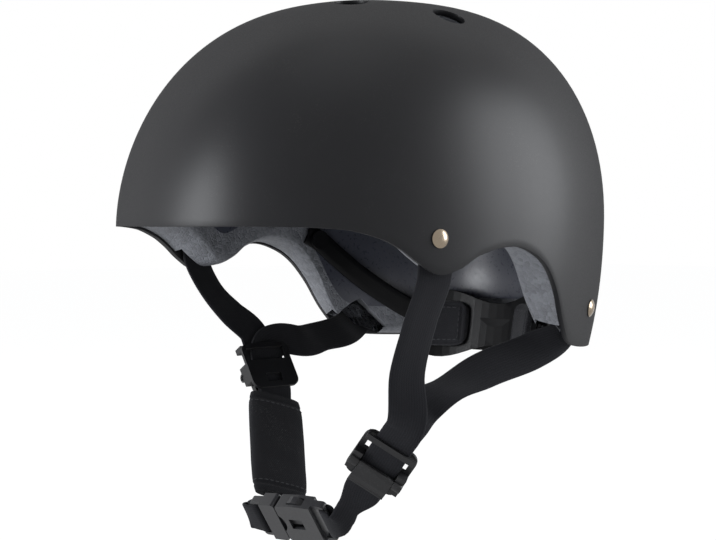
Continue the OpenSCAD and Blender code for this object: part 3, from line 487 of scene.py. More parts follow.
def weave(tree, place, picks, cords, skew):
    """Ribs of a woven band: picks one after the other along U, warp cords side by side in V."""
    split = add(tree, "SeparateXYZ", {"Vector": place}).outputs
    v = times(tree, split["Y"], cords)
    fold = times(tree, maths(tree, "PINGPONG", v, 1.0), skew)
    slant = plus(tree, times(tree, split["X"], picks), fold)
    rib, cord = (maths(tree, "ABSOLUTE", maths(tree, "SINE", times(tree, t, math.pi)))
                 for t in (slant, v))
    high = times(tree, maths(tree, "POWER", rib, 0.6), maths(tree, "POWER", cord, 0.4))
    fuzz = mottle(tree, place, 2600.0)
    return {"Height": plus(tree, high, times(tree, fuzz, 0.25)), "Thread": times(tree, high, fuzz)}


def beads(tree, place, scale):
    """Cut foam: beads pressed together, with fine pits between them."""
    where = {"Vector": place, "Scale": scale}
    gap = add(tree, "TexVoronoi", where, feature="DISTANCE_TO_EDGE").outputs["Distance"]
    bead = add(tree, "SeparateColor", {"Color": add(tree, "TexVoronoi", where).outputs["Color"]})
    pits = mottle(tree, place, 1500.0, 3.0)
    return {"Height": plus(tree, ranged(tree, gap, 0.0, 0.22), times(tree, pits, 0.6)),
            "Tone": plus(tree, times(tree, bead.outputs["Red"], 0.45), times(tree, pits, 0.55))}


def knit(tree, place, scale):
    """Brushed knit: rows of small loops under a short nap."""
    spread = add(tree, "VectorMath", {0: place, "Scale": scale}, operation="SCALE")
    split = add(tree, "SeparateXYZ", {"Vector": spread.outputs["Vector"]}).outputs
    wander = times(tree, mottle(tree, place, 300.0), 3.0)
    across = maths(tree, "SINE", plus(tree, split["X"], wander))
    along = maths(tree, "SINE", plus(tree, split["Z"], split["Y"]))
    nap = mottle(tree, place, 3200.0, 3.0)
    return {"Height": plus(tree, times(tree, across, along), nap), "Tone": nap}


EFFECTS = {}


def effect(tree, recipe, place, **values):
    """What a shared effect gives at a place; its node group is made at its first use."""
    name = recipe.__name__.title()
    if name not in EFFECTS:
        shared = EFFECTS[name] = bpy.data.node_groups.new(name, "ShaderNodeTree")
        shared.interface.new_socket(name="Vector", in_out="INPUT", socket_type="NodeSocketVector")
        for label, value in values.items():
            shared.interface.new_socket(name=label, in_out="INPUT",
                                        socket_type="NodeSocketFloat").default_value = value
        given = shared.nodes.new("NodeGroupInput").outputs
        out = shared.nodes.new("NodeGroupOutput")
        made = recipe(shared, given["Vector"], *(given[label] for label in values))
        for label, socket in made.items():
            shared.interface.new_socket(name=label, in_out="OUTPUT", socket_type="NodeSocketFloat")
            shared.links.new(socket, out.inputs[label])
    node = tree.nodes.new("ShaderNodeGroup")
    node.node_tree = EFFECTS[name]
    for label, value in {"Vector": place, **values}.items():
        feed(tree, node.inputs[label], value)
    return node.outputs


# ---------------------------------------------------------------- finishes
def scaled(rgb, k):
    return tuple(min(1.0, c * k) for c in rgb)


def new_material(name):
    material = bpy.data.materials.new(name)
    material.use_nodes = True
    spot = material.node_tree.nodes.new("ShaderNodeTexCoord").outputs
    return material, material.node_tree, spot


def dress(material, base, rough, height, strength, distance, fixed):
    """Gives a material its colour, roughness, relief and fixed values."""
    tree = material.node_tree
    relief = add(tree, "Bump", {"Height": height, "Strength": strength, "Distance": distance})
    looks = {"Base Color": base, "Roughness": rough, "Normal": relief.outputs["Normal"], **fixed}
    for label, value in looks.items():
        feed(tree, tree.nodes["Principled BSDF"].inputs[label], value)
    return material


def plastic(name, rgb, rough, scale, depth, scuffs, dusty, specular=0.5, graze=0.0):
    """Moulded plastic with fine grain, tonal drift, stray scuffs and a little dust.

    A soft-touch skin has a graze above 0: it is rougher where it is seen along its face.
    """
    material, tree, spot = new_material(name)
    marks = effect(tree, grain, spot["Object"], Scale=scale, Scuffs=scuffs)
    dirt = effect(tree, dust, spot["Object"], Amount=dusty)
    base = blended(tree, marks["Drift"], scaled(rgb, 0.86), scaled(rgb, 1.14))
    base = blended(tree, marks["Scuff"], base, scaled(rgb, 2.0))
    base = blended(tree, dirt["Mask"], base, (0.20, 0.195, 0.185))
    roughness = ranged(tree, marks["Height"], 0.3, 0.7, rough - 0.05, rough + 0.06)
    if graze:
        facing = add(tree, "LayerWeight", {}).outputs["Facing"]
        roughness = plus(tree, roughness, ranged(tree, facing, 0.45, 0.9, 0.0, graze))
    return dress(material, base, roughness, marks["Height"], 0.5, depth,
                 {"Specular IOR Level": specular})


# Foam of the liner's edge: bead grain, with a lighter tone that is partly painted light from below
def foam(name, rgb):
    material, tree, spot = new_material(name)
    cut = effect(tree, beads, spot["Object"], Scale=420.0)
    return dress(material, blended(tree, cut["Tone"], scaled(rgb, 0.62), scaled(rgb, 1.5)),
                 ranged(tree, cut["Tone"], 0.0, 1.0, 0.5, 0.85), cut["Height"], 0.8, 0.00025,
                 {"Specular IOR Level": 0.15})


def cloth(name, rgb, scale, sheen):
    material, tree, spot = new_material(name)
    loops = effect(tree, knit, spot["Object"], Scale=scale)
    dirt = effect(tree, dust, spot["Object"], Amount=0.35)
    base = blended(tree, loops["Tone"], scaled(rgb, 0.7), scaled(rgb, 1.45))
    return dress(material, blended(tree, dirt["Mask"], base, (0.22, 0.215, 0.21)),
                 ranged(tree, loops["Tone"], 0.0, 1.0, 0.8, 0.98), loops["Height"], 0.7, 0.00012,
                 {"Specular IOR Level": 0.0, "Sheen Weight": sheen, "Sheen Roughness": 0.5})


def woven(name, rgb):
    material, tree, spot = new_material(name)
    web = effect(tree, weave, spot["UV"], Picks=850.0, Cords=750.0, Skew=1.6)
    return dress(material, blended(tree, web["Thread"], scaled(rgb, 0.6), scaled(rgb, 1.9)),
                 ranged(tree, web["Thread"], 0.0, 1.0, 0.62, 0.85), web["Height"], 0.5, 0.00010,
                 {"Specular IOR Level": 0.0, "Sheen Weight": 0.08})


def metal(name, rgb, rough):
    material, tree, spot = new_material(name)
    marks = effect(tree, grain, spot["Object"], Scale=2400.0, Scuffs=0.6)
    base = blended(tree, marks["Drift"], scaled(rgb, 0.85), scaled(rgb, 1.1))
    return dress(material, blended(tree, marks["Scuff"], base, scaled(rgb, 0.6)),
                 ranged(tree, marks["Drift"], 0.0, 1.0, rough - 0.07, rough + 0.09),
                 marks["Height"], 0.4, 0.00002, {"Metallic": 1.0})


# How each finish is made from the panel's colours. A plastic's numbers are its roughness, grains
# per metre, depth of grain in metres, scuffs, dust, specular level and roughness at a graze.
RECIPES = {
    "shell": lambda t: plastic("shell_matt", t.shell, 0.39, 1500.0, 0.00003, 0.15, 0.10, 0.17,
                               0.42),
    # the liner skin's blue tint is a painted sheen over its dark colour
    "skin": lambda t: plastic("liner_skin_and_sheen", t.skin, 0.30, 520.0, 0.00004, 0.1, 0.1, 0.38),
    "foam": lambda t: foam("liner_foam_and_painted_light", t.foam),
    "webbing": lambda t: woven("woven_webbing", t.webbing),
    "cloth": lambda t: cloth("pad_cloth", t.cloth, 4200.0, 0.1),
    "sleeve": lambda t: cloth("chin_sleeve_cloth", t.sleeve, 5200.0, 0.08),
    "thread": lambda t: cloth("stitch_thread", (0.04, 0.04, 0.043), 9000.0, 0.1),
    "buckle": lambda t: plastic("buckle_plastic", scaled(t.fitting, 2.2), 0.4, 900.0, 0.00006,
                                0.5, 0.25, 0.45, 0.35),
    "fitting": lambda t: plastic("fitting_plastic", t.fitting, 0.36, 900.0, 0.00006, 0.5, 0.2,
                                 0.3, 0.55),
    "ring": lambda t: plastic("ring_plastic", t.ring, 0.36, 700.0, 0.00006, 0.3, 0.1, 0.12, 0.4),
    "pinion": lambda t: plastic("pinion_plastic", (0.72, 0.71, 0.68), 0.4, 900.0, 0.00003,
                                0.1, 0.1),
    "rivet": lambda t: metal("rivet_plate", t.metal, 0.27),
    "washer": lambda t: metal("washer_steel", (0.5, 0.5, 0.5), 0.34),
}
FINISHES = {}


def finish_of(name):
    """The finish of that name, made at its first use."""
    if name not in FINISHES:
        FINISHES[name] = RECIPES[name](bpy.context.scene.helmet_colours)
    return FINISHES[name]


# ---------------------------------------------------------------- webbing
def smoothed(stations, field, steps):
    """Field of the stations along the smooth line through them, weighted by their distances."""
    def far(i, j):
        return (stations[i][0] - stations[j][0]).length

    def slope(i, d):
        last = len(stations) - 1
        a = far(i, i - 1) if i > 0 else 0
        b = far(i + 1, i) if i < last else 0
        after = (stations[i + 1][field] - stations[i][field]) * (1 / b) if b else None
        before = (stations[i][field] - stations[i - 1][field]) * (1 / a) if a else after
        after = before if after is None else after
        return (before * b + after * a) * (d / (a + b))

    out = []
    for i in range(len(stations) - 1):
        d = far(i + 1, i)
        start, end = stations[i][field], stations[i + 1][field]
        leave, reach = slope(i, d), slope(i + 1, d)
        out += [hermite(start, end, leave, reach, k / steps) for k in range(steps)]
    return out + [stations[-1][field]]


# Section of a band in shares of its width and thickness: two flat faces and rounded selvedges
UNDER = [(-0.5, -0.1), (-0.49, -0.38), (-0.46, -0.5), (-0.2, -0.5), (0.2, -0.5), (0.46, -0.5),
         (0.49, -0.38), (0.5, -0.1)]
SECTION = UNDER + [(x, -y) for x, y in reversed(UNDER)]


def ribbon(stations, thick):
    """Band along stations of centre, direction across and width."""
    stations = [(Vector(c), Vector(e), w) for c, e, w in stations]
    centre, across, width = (smoothed(stations, field, 8) for field in range(3))
    n, m = len(centre), len(SECTION)
    lengths = [0.0]
    for here, there in zip(centre, centre[1:]):
        lengths.append(lengths[-1] + (there - here).length)

    def cell(u, v):
        return round(u * (n - 1)), SECTION[round(v * m) % m]

    def place(u, v):
        i, (x, y) = cell(u, v)
        along = (centre[min(n - 1, i + 1)] - centre[max(0, i - 1)]).normalized()
        e = (across[i] - across[i].dot(along) * along).normalized()
        return centre[i] + e * (x * width[i]) + along.cross(e) * (y * thick)

    def laid(u, v):
        i, (x, y) = cell(u, v)
        return lengths[i] * MM, (x + 0.5) * width[i] * MM

    return closed(lofted(n - 1, m, place, laid))


# Half the distance of two plies, radius of a turn round a bar and the buckle's bars from its middle
PLY, LOOP_R, BAR_X = 0.9, 2.2, 21.7
LEFT_DIVIDER = placed((62, -43.9, -122.5), (-0.635, -0.11, -0.763), (0.62, -0.74, -0.28))
RIGHT_DIVIDER = placed((-62, -21, -80), (0.528, 0.005, -0.849), (-0.826, 0.05, -0.57))
BUCKLE = placed((10, -58, -154), (-0.9537, -0.3007, 0), (0.23, -0.73, -0.64))
CHIN_TOP, CHIN_FOOT = Vector((-54.4, -21.8, -93.5)), Vector((-22, -43, -147))
CHIN_DIR = (CHIN_FOOT - CHIN_TOP).normalized()
CHIN_N = Vector((-0.80, 0.02, -0.45))
CHIN_N = (CHIN_N - CHIN_N.dot(CHIN_DIR) * CHIN_DIR).normalized()
CHIN_ACROSS = -CHIN_N.cross(CHIN_DIR)


def axis(matrix, i):
    return matrix.to_3x3().col[i].copy()


def rivet_run(side, k, marks):
    """Stations along the webbing past a rivet, flat against the shell."""
    a0, z0, slant = RIVET_SPOTS[k]
    inset = mm("shell_wall") + WEB_INSET + mm("web_thick") / 2
    along, up = tangents(a0, z0)
    arc = along.length / 2
    across = along.normalized() * cos(slant) - up.normalized() * sin(slant)
    flip = Vector((side, 1, 1))
    return [(dome(a0 + t * sin(slant) / arc, z0 + t * cos(slant), inset) * flip, across * flip,
             mm("web_width")) for t in marks]


def through(divider, across, marks, height):
    """Stations along a divider at a height over its middle."""
    return [(divider @ Vector((x, 0, height)), across, mm("web_width")) for x in marks]


def round_bar(end):
    """Half a turn round the bar at one end of the buckle."""
    return [(BUCKLE @ Vector((end * (BAR_X - LOOP_R * cos(t)), 0, -LOOP_R * sin(t))),
             axis(BUCKLE, 1), mm("web_width")) for t in (-90, -45, 0, 45, 90)]


def foot_and_bar(side):
    """The webbing gathers between the left divider and the buckle's bar."""
    w = mm("web_width")
    foot = (LEFT_DIVIDER @ Vector((19, 0, side * PLY))).lerp(
        BUCKLE @ Vector((-BAR_X, 0, side * LOOP_R)), 0.45)
    return [(foot + Vector((0.8, 0, -1.4)),
             axis(LEFT_DIVIDER, 1).lerp(axis(BUCKLE, 1), 0.5).normalized(), 0.62 * w),
            (BUCKLE @ Vector((-BAR_X - 5, 0, side * LOOP_R)), axis(BUCKLE, 1), 0.8 * w)]


def left_route():
    w = mm("web_width")
    across = axis(LEFT_DIVIDER, 1)
    return (rivet_run(1, 0, [10, 0, -10, -18])
            + [((92, -43.5, -49), (0.1, 0.97, -0.1), w), ((82, -43.3, -75), (0.2, 0.95, -0.2), w)]
            + through(LEFT_DIVIDER, across, (-24, -17, -9, 0, 12, 19), PLY)
            + foot_and_bar(1) + round_bar(-1) + foot_and_bar(-1)[::-1]
            + through(LEFT_DIVIDER, across, (19, 12, 0, -10, -16), -PLY)
            + [(LEFT_DIVIDER @ Vector((-20.5, 0.2, -2.6)), across, w),
               (LEFT_DIVIDER @ Vector((-25, 1.5, -9.5)), (0.53, 0.4, -0.75), w),
               ((69.2, -20, -93), (0.6, 0.25, -0.75), w), ((71.5, -8, -86.5), (0.85, 0, -0.5), w),
               ((75.5, 17, -76), (0.5, 0.3, -0.8), w), ((80.5, 48, -66.7), (0.25, 0.4, -0.87), w)]
            + rivet_run(1, 1, [-15, -8, 0, 9]))


def chin_run(side, marks):
    return [(CHIN_TOP.lerp(CHIN_FOOT, t) + side * PLY * CHIN_N, CHIN_ACROSS, mm("web_width"))
            for t in marks]


def chin_turn(side):
    """The webbing gathers on its way from the chin pad's foot round to the buckle's bar."""
    marks = [(CHIN_FOOT + 1.6 * CHIN_DIR, CHIN_DIR, CHIN_ACROSS, PLY, 1),
             ((-20.5, -48.5, -152.3), (0.1, -0.8, -0.55), (0.4, 0.59, -0.7), 1.2, 0.7),
             ((-20.6, -54.5, -154), (-0.05, -1, -0.1), (0.3, 0.25, -0.92), 1.5, 0.6),
             ((-20.2, -60.5, -154.2), (0.2, -0.98, 0), (0.05, 0.35, -0.93), 1.8, 0.6),
             ((-17.6, -65.3, -154.1), (0.75, -0.66, 0), (-0.1, 0.5, -0.86), 2.1, 0.75),
             (BUCKLE @ Vector((BAR_X + 1.8, 0, 0)), -axis(BUCKLE, 0), axis(BUCKLE, 1), LOOP_R,
              0.95)]
    out = []
    for place, heading, across, half, share in marks:
        heading, across = Vector(heading), Vector(across).normalized()
        out.append((Vector(place) - side * half * heading.cross(across).normalized(), across,
                    share * mm("web_width")))
    return out


def right_route():
    w = mm("web_width")
    across, down = axis(RIGHT_DIVIDER, 1), axis(RIGHT_DIVIDER, 0)
    first = rivet_run(-1, 0, [10, 0, -11])
    # where the webbing bends up beside the divider: its place, and its turn in degrees
    bend = [(12, 0, 0), (2, 0, 0), (-7, -1.5, 22), (-14, -7, 55), (-16.5, -16, 85)]
    chin = (0.06, 0.2, 0.5, 0.88, 0.975)
    return (first
            + [((-94.5, -38.5, -34), first[0][1], w), ((-81.7, -31.3, -50), (-0.15, 0.95, 0.25), w)]
            + through(RIGHT_DIVIDER, -across, (-22, -12, 0, 12), PLY)
            + chin_run(1, chin) + chin_turn(1) + round_bar(1)
            + chin_turn(-1)[::-1] + chin_run(-1, chin[::-1])
            + [(RIGHT_DIVIDER @ Vector((x, y, -PLY)), down * sin(t) - across * cos(t), w)
               for x, y, t in bend]
            + [((-67, 8, -66.5), (0.5, 0.1, -0.84), w), ((-73, 25, -65), (0.6, 0.28, -0.72), w),
               ((-77.5, 46, -62.5), (0.5, 0.4, -0.75), w)]
            + rivet_run(-1, 1, [-15, -8, 0, 9]))


# ---------------------------------------------------------------- operators
class HELMET_OT_shell(bpy.types.Operator):
    """Build the hard shell with its vents"""
    bl_idname = "helmet.shell"
    bl_label = "Shell"

    def execute(self, context):
        bm = lofted(360, 44, lambda u, v: on_row(360 * u, 0, v, 0))
        bmesh.ops.recalc_face_normals(bm, faces=bm.faces)
        bmesh.ops.solidify(bm, geom=bm.faces[:], thickness=context.scene.helmet_sizes.shell_wall)
        bmesh.ops.recalc_face_normals(bm, faces=bm.faces)
        obj = piece("shell", bm, "helmet", ["outer_shell"], [finish_of("shell")])
        carve(obj, vent_cuts(-20, 20))
        soften(obj, 0.0007)
        return {"FINISHED"}


class HELMET_OT_liner(bpy.types.Operator):
    """Build the foam liner with its smooth inner skin and cut edges"""
    bl_idname = "helmet.liner"
    bl_label = "Liner"

    def execute(self, context):
        out = mm("shell_wall") + LINER_GAP
        wall = mm("liner_wall")
        outer_rows, edge_rows, inner_rows = 14, 10, 34
        rows = outer_rows + edge_rows + inner_rows

        def inner(a, share):
            # the wall thins towards the low tail
            z = row_height(a, SKIN_RISE, share, mm("height") - out - wall)
            return dome(a, z, out + wall - TAIL_THIN * smooth((TAIL_FROM - z) / TAIL_SPAN))

        def place(u, v):
            a, row = 360 * u, v * rows
            if row <= outer_rows:
                return on_row(a, LINER_RISE, 1 - row / outer_rows, out)
            if row >= outer_rows + edge_rows:
                return inner(a, (row - outer_rows - edge_rows) / inner_rows)
            # the rounded edge between the two
            t = (row - outer_rows) / edge_rows
            low, high, above = on_row(a, LINER_RISE, 0, out), inner(a, 0), inner(a, 0.05)
            sag = 1.3 * math.sin(math.pi * t) ** 0.8
            return (low.lerp(high, mix(t, 1 - (1 - t) ** 2, 0.6)) - Vector((0, 0, sag))
                    + (above - high) * (0.10 * t ** 4))

        bm = closed(lofted(300, rows, place))
        self.colour_edge_and_lit_band(bm, (outer_rows + edge_rows) / rows)
        obj = piece("liner", bm, "helmet", ["eps_liner"],
                    [finish_of("skin"), finish_of("foam")])
        carve(obj, vent_cuts(-36, 18), 1)
        deep = mm("shell_wall") + POCKET_ROOM + mm("web_thick") + WASHER_ROOM
        half = mm("web_width") / 2 + 5
        self.cut_pockets(obj, 0, (-half, -60, -deep), (half, 12, 1))
        self.cut_pockets(obj, 1, (-half, -60, -deep), (half, 12, 1))
        self.cut_pockets(obj, 1, (-half, -60, -deep * 2.3), (half, -10, 1.5))
        dial_room = bmesh.new()
        add_block(dial_room, Matrix.Identity(4), (-34, 70.4, -90), (34, 117.4, -43))
        carve(obj, dial_room, 1)
        soften(obj, 0.0008, 50)
        return {"FINISHED"}

    def cut_pockets(self, obj, k, low, high):
        """Room for the webbing at both rivets of a kind."""
        a, z, slant = RIVET_SPOTS[k]
        cuts = bmesh.new()
        for side in (-1, 1):
            turned = Matrix.Rotation(math.radians(-slant), 4, "Z")
            add_block(cuts, on_dome(a, z, side) @ turned, low, high)
        carve(obj, cuts, 1)

    def colour_edge_and_lit_band(self, bm, inner_start):
        """Bare foam outside and on the edge, and for a finger's width inside it, in a lighter
        finish that is partly painted light from below; skin further up.
        """
        uv = bm.loops.layers.uv.active
        for face in bm.faces:
            u, v = face.loops[0][uv].uv
            above = face.calc_center_median().z / MM - rim_z(360 * u)
            face.material_index = 0 if v >= inner_start and above > FOAM_AND_LIGHT_MARGIN else 1


def pad_place(a0, a1, z0, z1, thick, base):
    """Swelling pad on the inside of the dome, between two angles and two heights."""
    def swell(t):
        return max(0.0, 1 - abs(2 * t - 1) ** 4)

    def place(u, v):
        # half of each column lies on the liner, the other half is the cushion's face and sides
        face = v <= 0.5
        v = 2 * v if face else 2 * (1 - v)
        rim = PAD_RIM
        cu, cv = (min(1.0, max(0.0, (t - rim) / (1 - 2 * rim))) for t in (u, v))
        out = max(0.0, rim - u, rim - v, u - 1 + rim, v - 1 + rim) / rim
        a = mix(a0, a1, 0.5 + (cu - 0.5) * (1 - CORNER_SIDE + CORNER_SIDE * math.sqrt(swell(cv))))
        z = mix(z0, z1, 0.5 + (cv - 0.5) * (1 - CORNER_END + CORNER_END * math.sqrt(swell(cu))))
        full = PAD_EDGE + (thick - PAD_EDGE) * math.sqrt(swell(cu) * swell(cv))
        ring = min(cu, 1 - cu, cv, 1 - cv)
        full -= SEAM_DEEP * groove(ring, 0.09, 0.022) * (1 if out == 0 else 0)
        full += 0.25 * noise.noise(Vector((a * 0.11, z * 0.13, base)))
        return dome(a, z, base + (full * math.sqrt(1 - out * out) if face else 0))
    return place


def make_pad(name, node, spans, thick, base, side=1, body="helmet"):
    """Cushion and its stitches, over a span of angles and heights."""
    place = pad_place(*spans, thick, base)
    pad, thread = closed(lofted(72, 80, place)), bmesh.new()
    low, high = (end + SEAM_IN * inward * (1 - 2 * PAD_RIM)
                 for end, inward in ((PAD_RIM, 1), (1 - PAD_RIM, -1)))
    sew(thread, place, around([(low, low / 2), (high, low / 2), (high, high / 2), (low, high / 2)]))
    for bm in (pad, thread):
        if side < 0:
            bmesh.ops.transform(bm, verts=bm.verts, matrix=MIRROR)
        bmesh.ops.recalc_face_normals(bm, faces=bm.faces)
    piece(name + "_cushion", pad, body, [node], [finish_of("cloth")], 60)
    piece(name + "_stitches", thread, body, (), [finish_of("thread")], 60)


class HELMET_OT_pads(bpy.types.Operator):
    """Build the comfort pads inside the liner and on the cradle"""
    bl_idname = "helmet.pads"
    bl_label = "Comfort pads"

    def execute(self, context):
        thick = mm("pad_thick")
        base = mm("shell_wall") + LINER_GAP + mm("liner_wall") + PAD_GAP
        make_pad("brow", "brow_pad", (-50, 50, 8, 38), thick, base)
        for side, tag in SIDES:
            make_pad(tag + "_side", tag + "_side_pad", (57, 96, 14, 40), thick, base, side)
        for side, tag in SIDES:
            make_pad(tag + "_cradle", "cradle_pads", (142, 167, -70.5, -44.5), 4.5, 34.2, side,
                     "cradle")
        self.crown(thick, base)
        return {"FINISHED"}

    def crown(self, thick, base):
        top = mm("height") - base

        def place(u, v):
            r = 30 * (1 - v)
            x, y = r * cos(360 * u), r * sin(360 * u)
            g = ((abs(x) / (mm("width") / 2 - base)) ** PLAN_POWER
                 + (abs(y) / (mm("front") - base)) ** PLAN_POWER) ** (1 / PLAN_POWER)
            swell = math.sqrt(max(0.0, 1 - (1 - v) ** 4))
            full = min(1.0, v / 0.06) * (PAD_EDGE + (thick - PAD_EDGE) * swell)
            full -= SEAM_DEEP * groove(v, 0.25, 0.05) + 0.5 * groove(v, 0.68, 0.04)
            return (x, y + lean(top), top * math.sqrt(1 - g ** DOME_POWER) - 0.4 - max(0.0, full))

        obj = piece("crown_cushion", closed(lofted(72, 40, place)), "helmet",
                    ["crown_pad"], [finish_of("cloth")], 60)
        thread = bmesh.new()
        for v in (0.31, 0.62):
            sew(thread, place, [(k / 360, v) for k in range(361)])
        piece("crown_stitches", thread, "helmet", (), [finish_of("thread")], 60)


class HELMET_OT_webbing(bpy.types.Operator):
    """Lay the two runs of webbing through dividers and buckle"""
    bl_idname = "helmet.webbing"
    bl_label = "Webbing"

    def execute(self, context):
        thick = mm("web_thick")
        web = finish_of("webbing")
        piece("left_webbing", ribbon(left_route(), thick), "helmet", ["left_strap"],
              [web], 50)
        right = piece("right_webbing", ribbon(right_route(), thick), None,
                      ["right_strap"], [web], 50)
        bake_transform(right)
        return {"FINISHED"}


class HELMET_OT_bands(bpy.types.Operator):
    """Build the fit bands between temples and dial"""
    bl_idname = "helmet.bands"
    bl_label = "Fit bands"

    def execute(self, context):
        inset = mm("shell_wall") + LINER_GAP + mm("liner_wall") + BAND_GAP
        w, upright = mm("band_width"), (0, 0, 1)
        rack_y, dial_z, rack_up = 103.5, -62.0, 7.2
        for side, tag in SIDES:
            flip = Vector((side, 1, 1))
            marks = [(100.5, -5.5), (104, -9), (110, -18), (117, -28), (125, -37.5),
                     (134, -46.5), (143, -53.5), (151, -58 + 2 * side)]
            route = [(dome(a, z, inset) * flip, upright, w) for a, z in marks]
            route += [((side * x, y, dial_z + side * up), upright, wide) for x, y, up, wide in (
                (41, rack_y - 3.2, rack_up - 0.6, mix(w, 5, 0.6)),
                (36, rack_y - 0.6, rack_up, 5), (31.3, rack_y, rack_up, 4.4))]
            obj = piece(tag + "_fit_band", ribbon(route, 1.6), None,
                        [tag + "_band"], [finish_of("ring")], 50)
            start, end = Vector(route[2][0]) * MM, Vector(route[-3][0]) * MM
            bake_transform(obj)
        return {"FINISHED"}


class HELMET_OT_chin_pad(bpy.types.Operator):
    """Build the padded sleeve on the chin webbing"""
    bl_idname = "helmet.chin_pad"
    bl_label = "Chin pad"

    def execute(self, context):
        lo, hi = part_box("chin_pad")
        mid = (lo + hi) / 2 / MM
        lie = placed(mid, CHIN_DIR, CHIN_N)
        half, wide, thick, rim = 31, 17, 4.5, 1.1

        def place(u, v):
            t = 2 * v - 1
            turn = 360 * u
            y = wide * (1 - 0.10 * abs(t) ** 6) * signed_power(cos(turn), 0.62)
            z = (rim + (thick - rim) * (1 - 0.32 * abs(t) ** 4)) * signed_power(sin(turn), 0.8)
            for seam in (-0.86, 0.86):
                z *= 1 - 0.20 * groove(t, seam, 0.022)
                y *= 1 - 0.02 * groove(t, seam, 0.022)
            # the sleeve is folded round the webbing and sewn down along one side
            z *= 1 - 0.16 * groove(y / wide, -0.66, 0.05) * (1 if z > 0 else 0)
            creased = noise.noise(Vector((half * t * 0.12, y * 0.16, 3.0 if z > 0 else 9.0)))
            return lie @ Vector((half * t, y, z + 0.22 * creased * (1 - abs(t) ** 4)))

        obj = piece("chin_cushion", closed(lofted(96, 90, place)), "chin_sleeve",
                    ["chin_pad"], [finish_of("sleeve")], 60)
        thread = bmesh.new()
        for v in (0.10, 0.90):
            sew(thread, place, [(k / 720, v) for k in range(721)])
        piece("chin_stitches", thread, "chin_sleeve", (), [finish_of("thread")], 60)
        return {"FINISHED"}


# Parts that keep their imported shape: by finish, the rounding of their edges in mm, 0 for none
KEPT_PARTS = {
    "rivet": {"front_rivets": 0, "rear_rivets": 0},
    "washer": {"rivet_washers": 0},
    "fitting": {"left_divider": 0.45, "left_cam": 0.3, "right_divider": 0.45, "right_cam": 0.3},
    "buckle": {"buckle_socket": 0.6, "buckle_plug": 0.5, "upper_arm": 0.35, "lower_arm": 0.35},
    "ring": {"band_anchors": 0, "left_rack": 0, "right_rack": 0, "cradle": 0.5,
             "dial_housing": 0.4, "dial_cover": 0.4, "fit_dial": 0.35},
    "pinion": {"pinion": 0},
}


class HELMET_OT_moulded(bpy.types.Operator):
    """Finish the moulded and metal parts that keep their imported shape"""
    bl_idname = "helmet.moulded"
    bl_label = "Moulded and metal parts"

    def execute(self, context):
        for finish, nodes in KEPT_PARTS.items():
            for node, rounding in nodes.items():
                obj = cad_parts[node]
                if not obj.data.materials:
                    obj.data.materials.append(None)
                for slot in obj.material_slots:
                    slot.material = finish_of(finish)
                if rounding:
                    obj.modifiers.new("Weld", "WELD").merge_threshold = 1e-5
                    add_bevel(obj, rounding * MM, 38, True)
        return {"FINISHED"}


# Soft lamps: metres to the camera's right, towards it and up, width, height, watts, and whether
# matt faces take their light
LAMPS = (
    ("lamp_right", 1.27, 0.0, 0.26, 0.62, 1.3, 22, True),
    ("lamp_left", -1.14, 0.44, 0.08, 0.62, 1.1, 25, True),
    ("lamp_top", 0.1, 0.3, 1.6, 1.2, 1.2, 3, True),
    ("lamp_low", -0.9, 1.1, -0.75, 0.5, 0.5, 4.0, False),
)


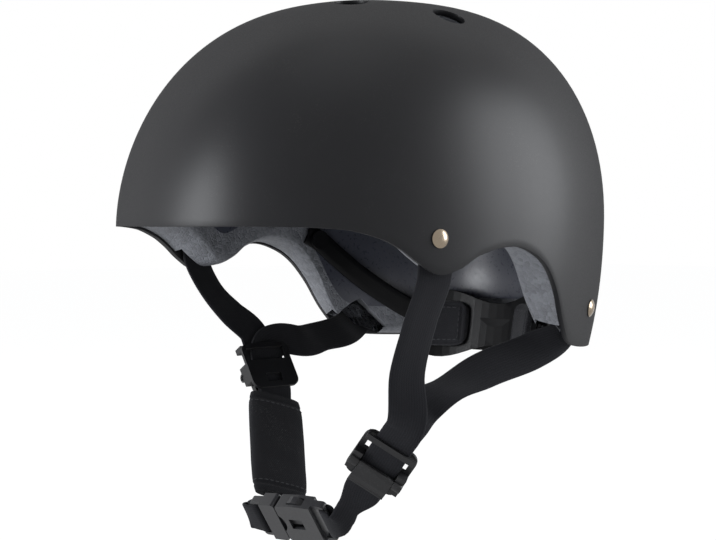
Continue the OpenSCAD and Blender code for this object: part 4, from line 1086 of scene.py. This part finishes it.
class HELMET_OT_stage(bpy.types.Operator):
    """Set the floor, the soft lamps and the camera"""
    bl_idname = "helmet.stage"
    bl_label = "Stage"

    def execute(self, context):
        scene = context.scene
        scene.view_settings.view_transform = "Standard"
        self.camera(scene)
        self.floor()
        self.world(scene)
        self.lamps()
        return {"FINISHED"}

    def camera(self, scene):
        data = bpy.data.cameras.new("camera")
        cam = scene.camera = new_object("camera", data)
        data.sensor_width, data.lens = 36.0, 106.84
        data.shift_x, data.shift_y = -0.0130, -0.0635
        cam.location = (0.8834, -0.7518, 0.0)
        cam.rotation_mode = "QUATERNION"
        cam.rotation_quaternion = Vector((-0.7615, 0.6481, 0.0)).to_track_quat("-Z", "Y")

    def seen_straight(self, tree):
        """1 where the background is seen by the camera, in a reflection or through a clear part."""
        path = add(tree, "LightPath", {}).outputs
        mirrored = maths(tree, "MAXIMUM", path["Is Glossy Ray"], path["Is Transmission Ray"])
        return maths(tree, "MAXIMUM", path["Is Camera Ray"], mirrored)

    def floor(self):
        bm = bmesh.new()
        bmesh.ops.create_grid(bm, x_segments=1, y_segments=1, size=6)
        bmesh.ops.translate(bm, verts=bm.verts, vec=(0, 0, CAD_BOX[0][2] - 0.004))
        mesh = mesh_of("floor", bm)
        obj = new_object("floor", mesh)
        material = bpy.data.materials.new("floor_white")
        material.use_nodes = True
        tree = material.node_tree
        tree.nodes.clear()
        lit = add(tree, "BsdfDiffuse", {"Color": (0.9, 0.9, 0.9, 1)})
        glow = add(tree, "Emission", {"Color": (1, 1, 1, 1), "Strength": 1.045})
        both = mixed(tree, times(tree, self.seen_straight(tree), 0.9), lit, glow)
        under = add(tree, "NewGeometry", {}).outputs["Backfacing"]
        one_way = mixed(tree, under, both, add(tree, "BsdfTransparent", {}))
        add(tree, "OutputMaterial", {"Surface": one_way.outputs[0]})
        mesh.materials.append(material)

    def world(self, scene):
        world = scene.world = bpy.data.worlds.new("studio")
        world.use_nodes = True
        tree = world.node_tree
        tree.nodes.clear()
        seen = add(tree, "Background", {"Color": (1, 1, 1, 1), "Strength": 1.0})
        room = add(tree, "Background", {"Color": (0.93, 0.96, 1.0, 1), "Strength": 0.6})
        both = mixed(tree, self.seen_straight(tree), room, seen)
        add(tree, "OutputWorld", {"Surface": both.outputs[0]})

    def lamps(self):
        towards, aside = Vector((0.7615, -0.6481, 0.0)), Vector((0.6481, 0.7615, 0.0))
        for name, x, y, z, wide, tall, power, lit in LAMPS:
            data = bpy.data.lights.new(name, "AREA")
            data.shape, data.size, data.size_y, data.energy = "ELLIPSE", wide, tall, power
            data.color = (0.95, 0.97, 1.0)
            obj = new_object(name, data)
            obj.visible_diffuse = lit
            obj.location = aside * x + towards * y + Vector((0, 0, z))
            obj.rotation_mode = "QUATERNION"
            heading = Vector((0, 0, 0.02)) - obj.location
            obj.rotation_quaternion = heading.to_track_quat("-Z", "Y")


OPERATORS = (HELMET_OT_stage, HELMET_OT_shell, HELMET_OT_liner, HELMET_OT_pads,
             HELMET_OT_webbing, HELMET_OT_bands, HELMET_OT_chin_pad, HELMET_OT_moulded)


class HELMET_PT_panel(bpy.types.Panel):
    """Pieces of the helmet in the sidebar"""
    bl_idname = "HELMET_PT_panel"
    bl_label = "Skate helmet"
    bl_space_type = "VIEW_3D"
    bl_region_type = "UI"
    bl_category = "Skate helmet"

    def draw(self, context):
        for props in (context.scene.helmet_sizes, context.scene.helmet_colours):
            box = self.layout.box()
            for name in props.__annotations__:
                box.prop(props, name)
        for operator in OPERATORS:
            self.layout.operator(operator.bl_idname)


CLASSES = (HelmetSizes, HelmetColours, *OPERATORS, HELMET_PT_panel)


def register():
    for cls in CLASSES:
        bpy.utils.register_class(cls)
    bpy.types.Scene.helmet_sizes = PointerProperty(type=HelmetSizes)
    bpy.types.Scene.helmet_colours = PointerProperty(type=HelmetColours)


def unregister():
    del bpy.types.Scene.helmet_colours
    del bpy.types.Scene.helmet_sizes
    for cls in reversed(CLASSES):
        bpy.utils.unregister_class(cls)


def main():
    register()
    for operator in OPERATORS:
        getattr(bpy.ops.helmet, operator.bl_idname.split(".")[1])()


if __name__ == "__main__":
    main()
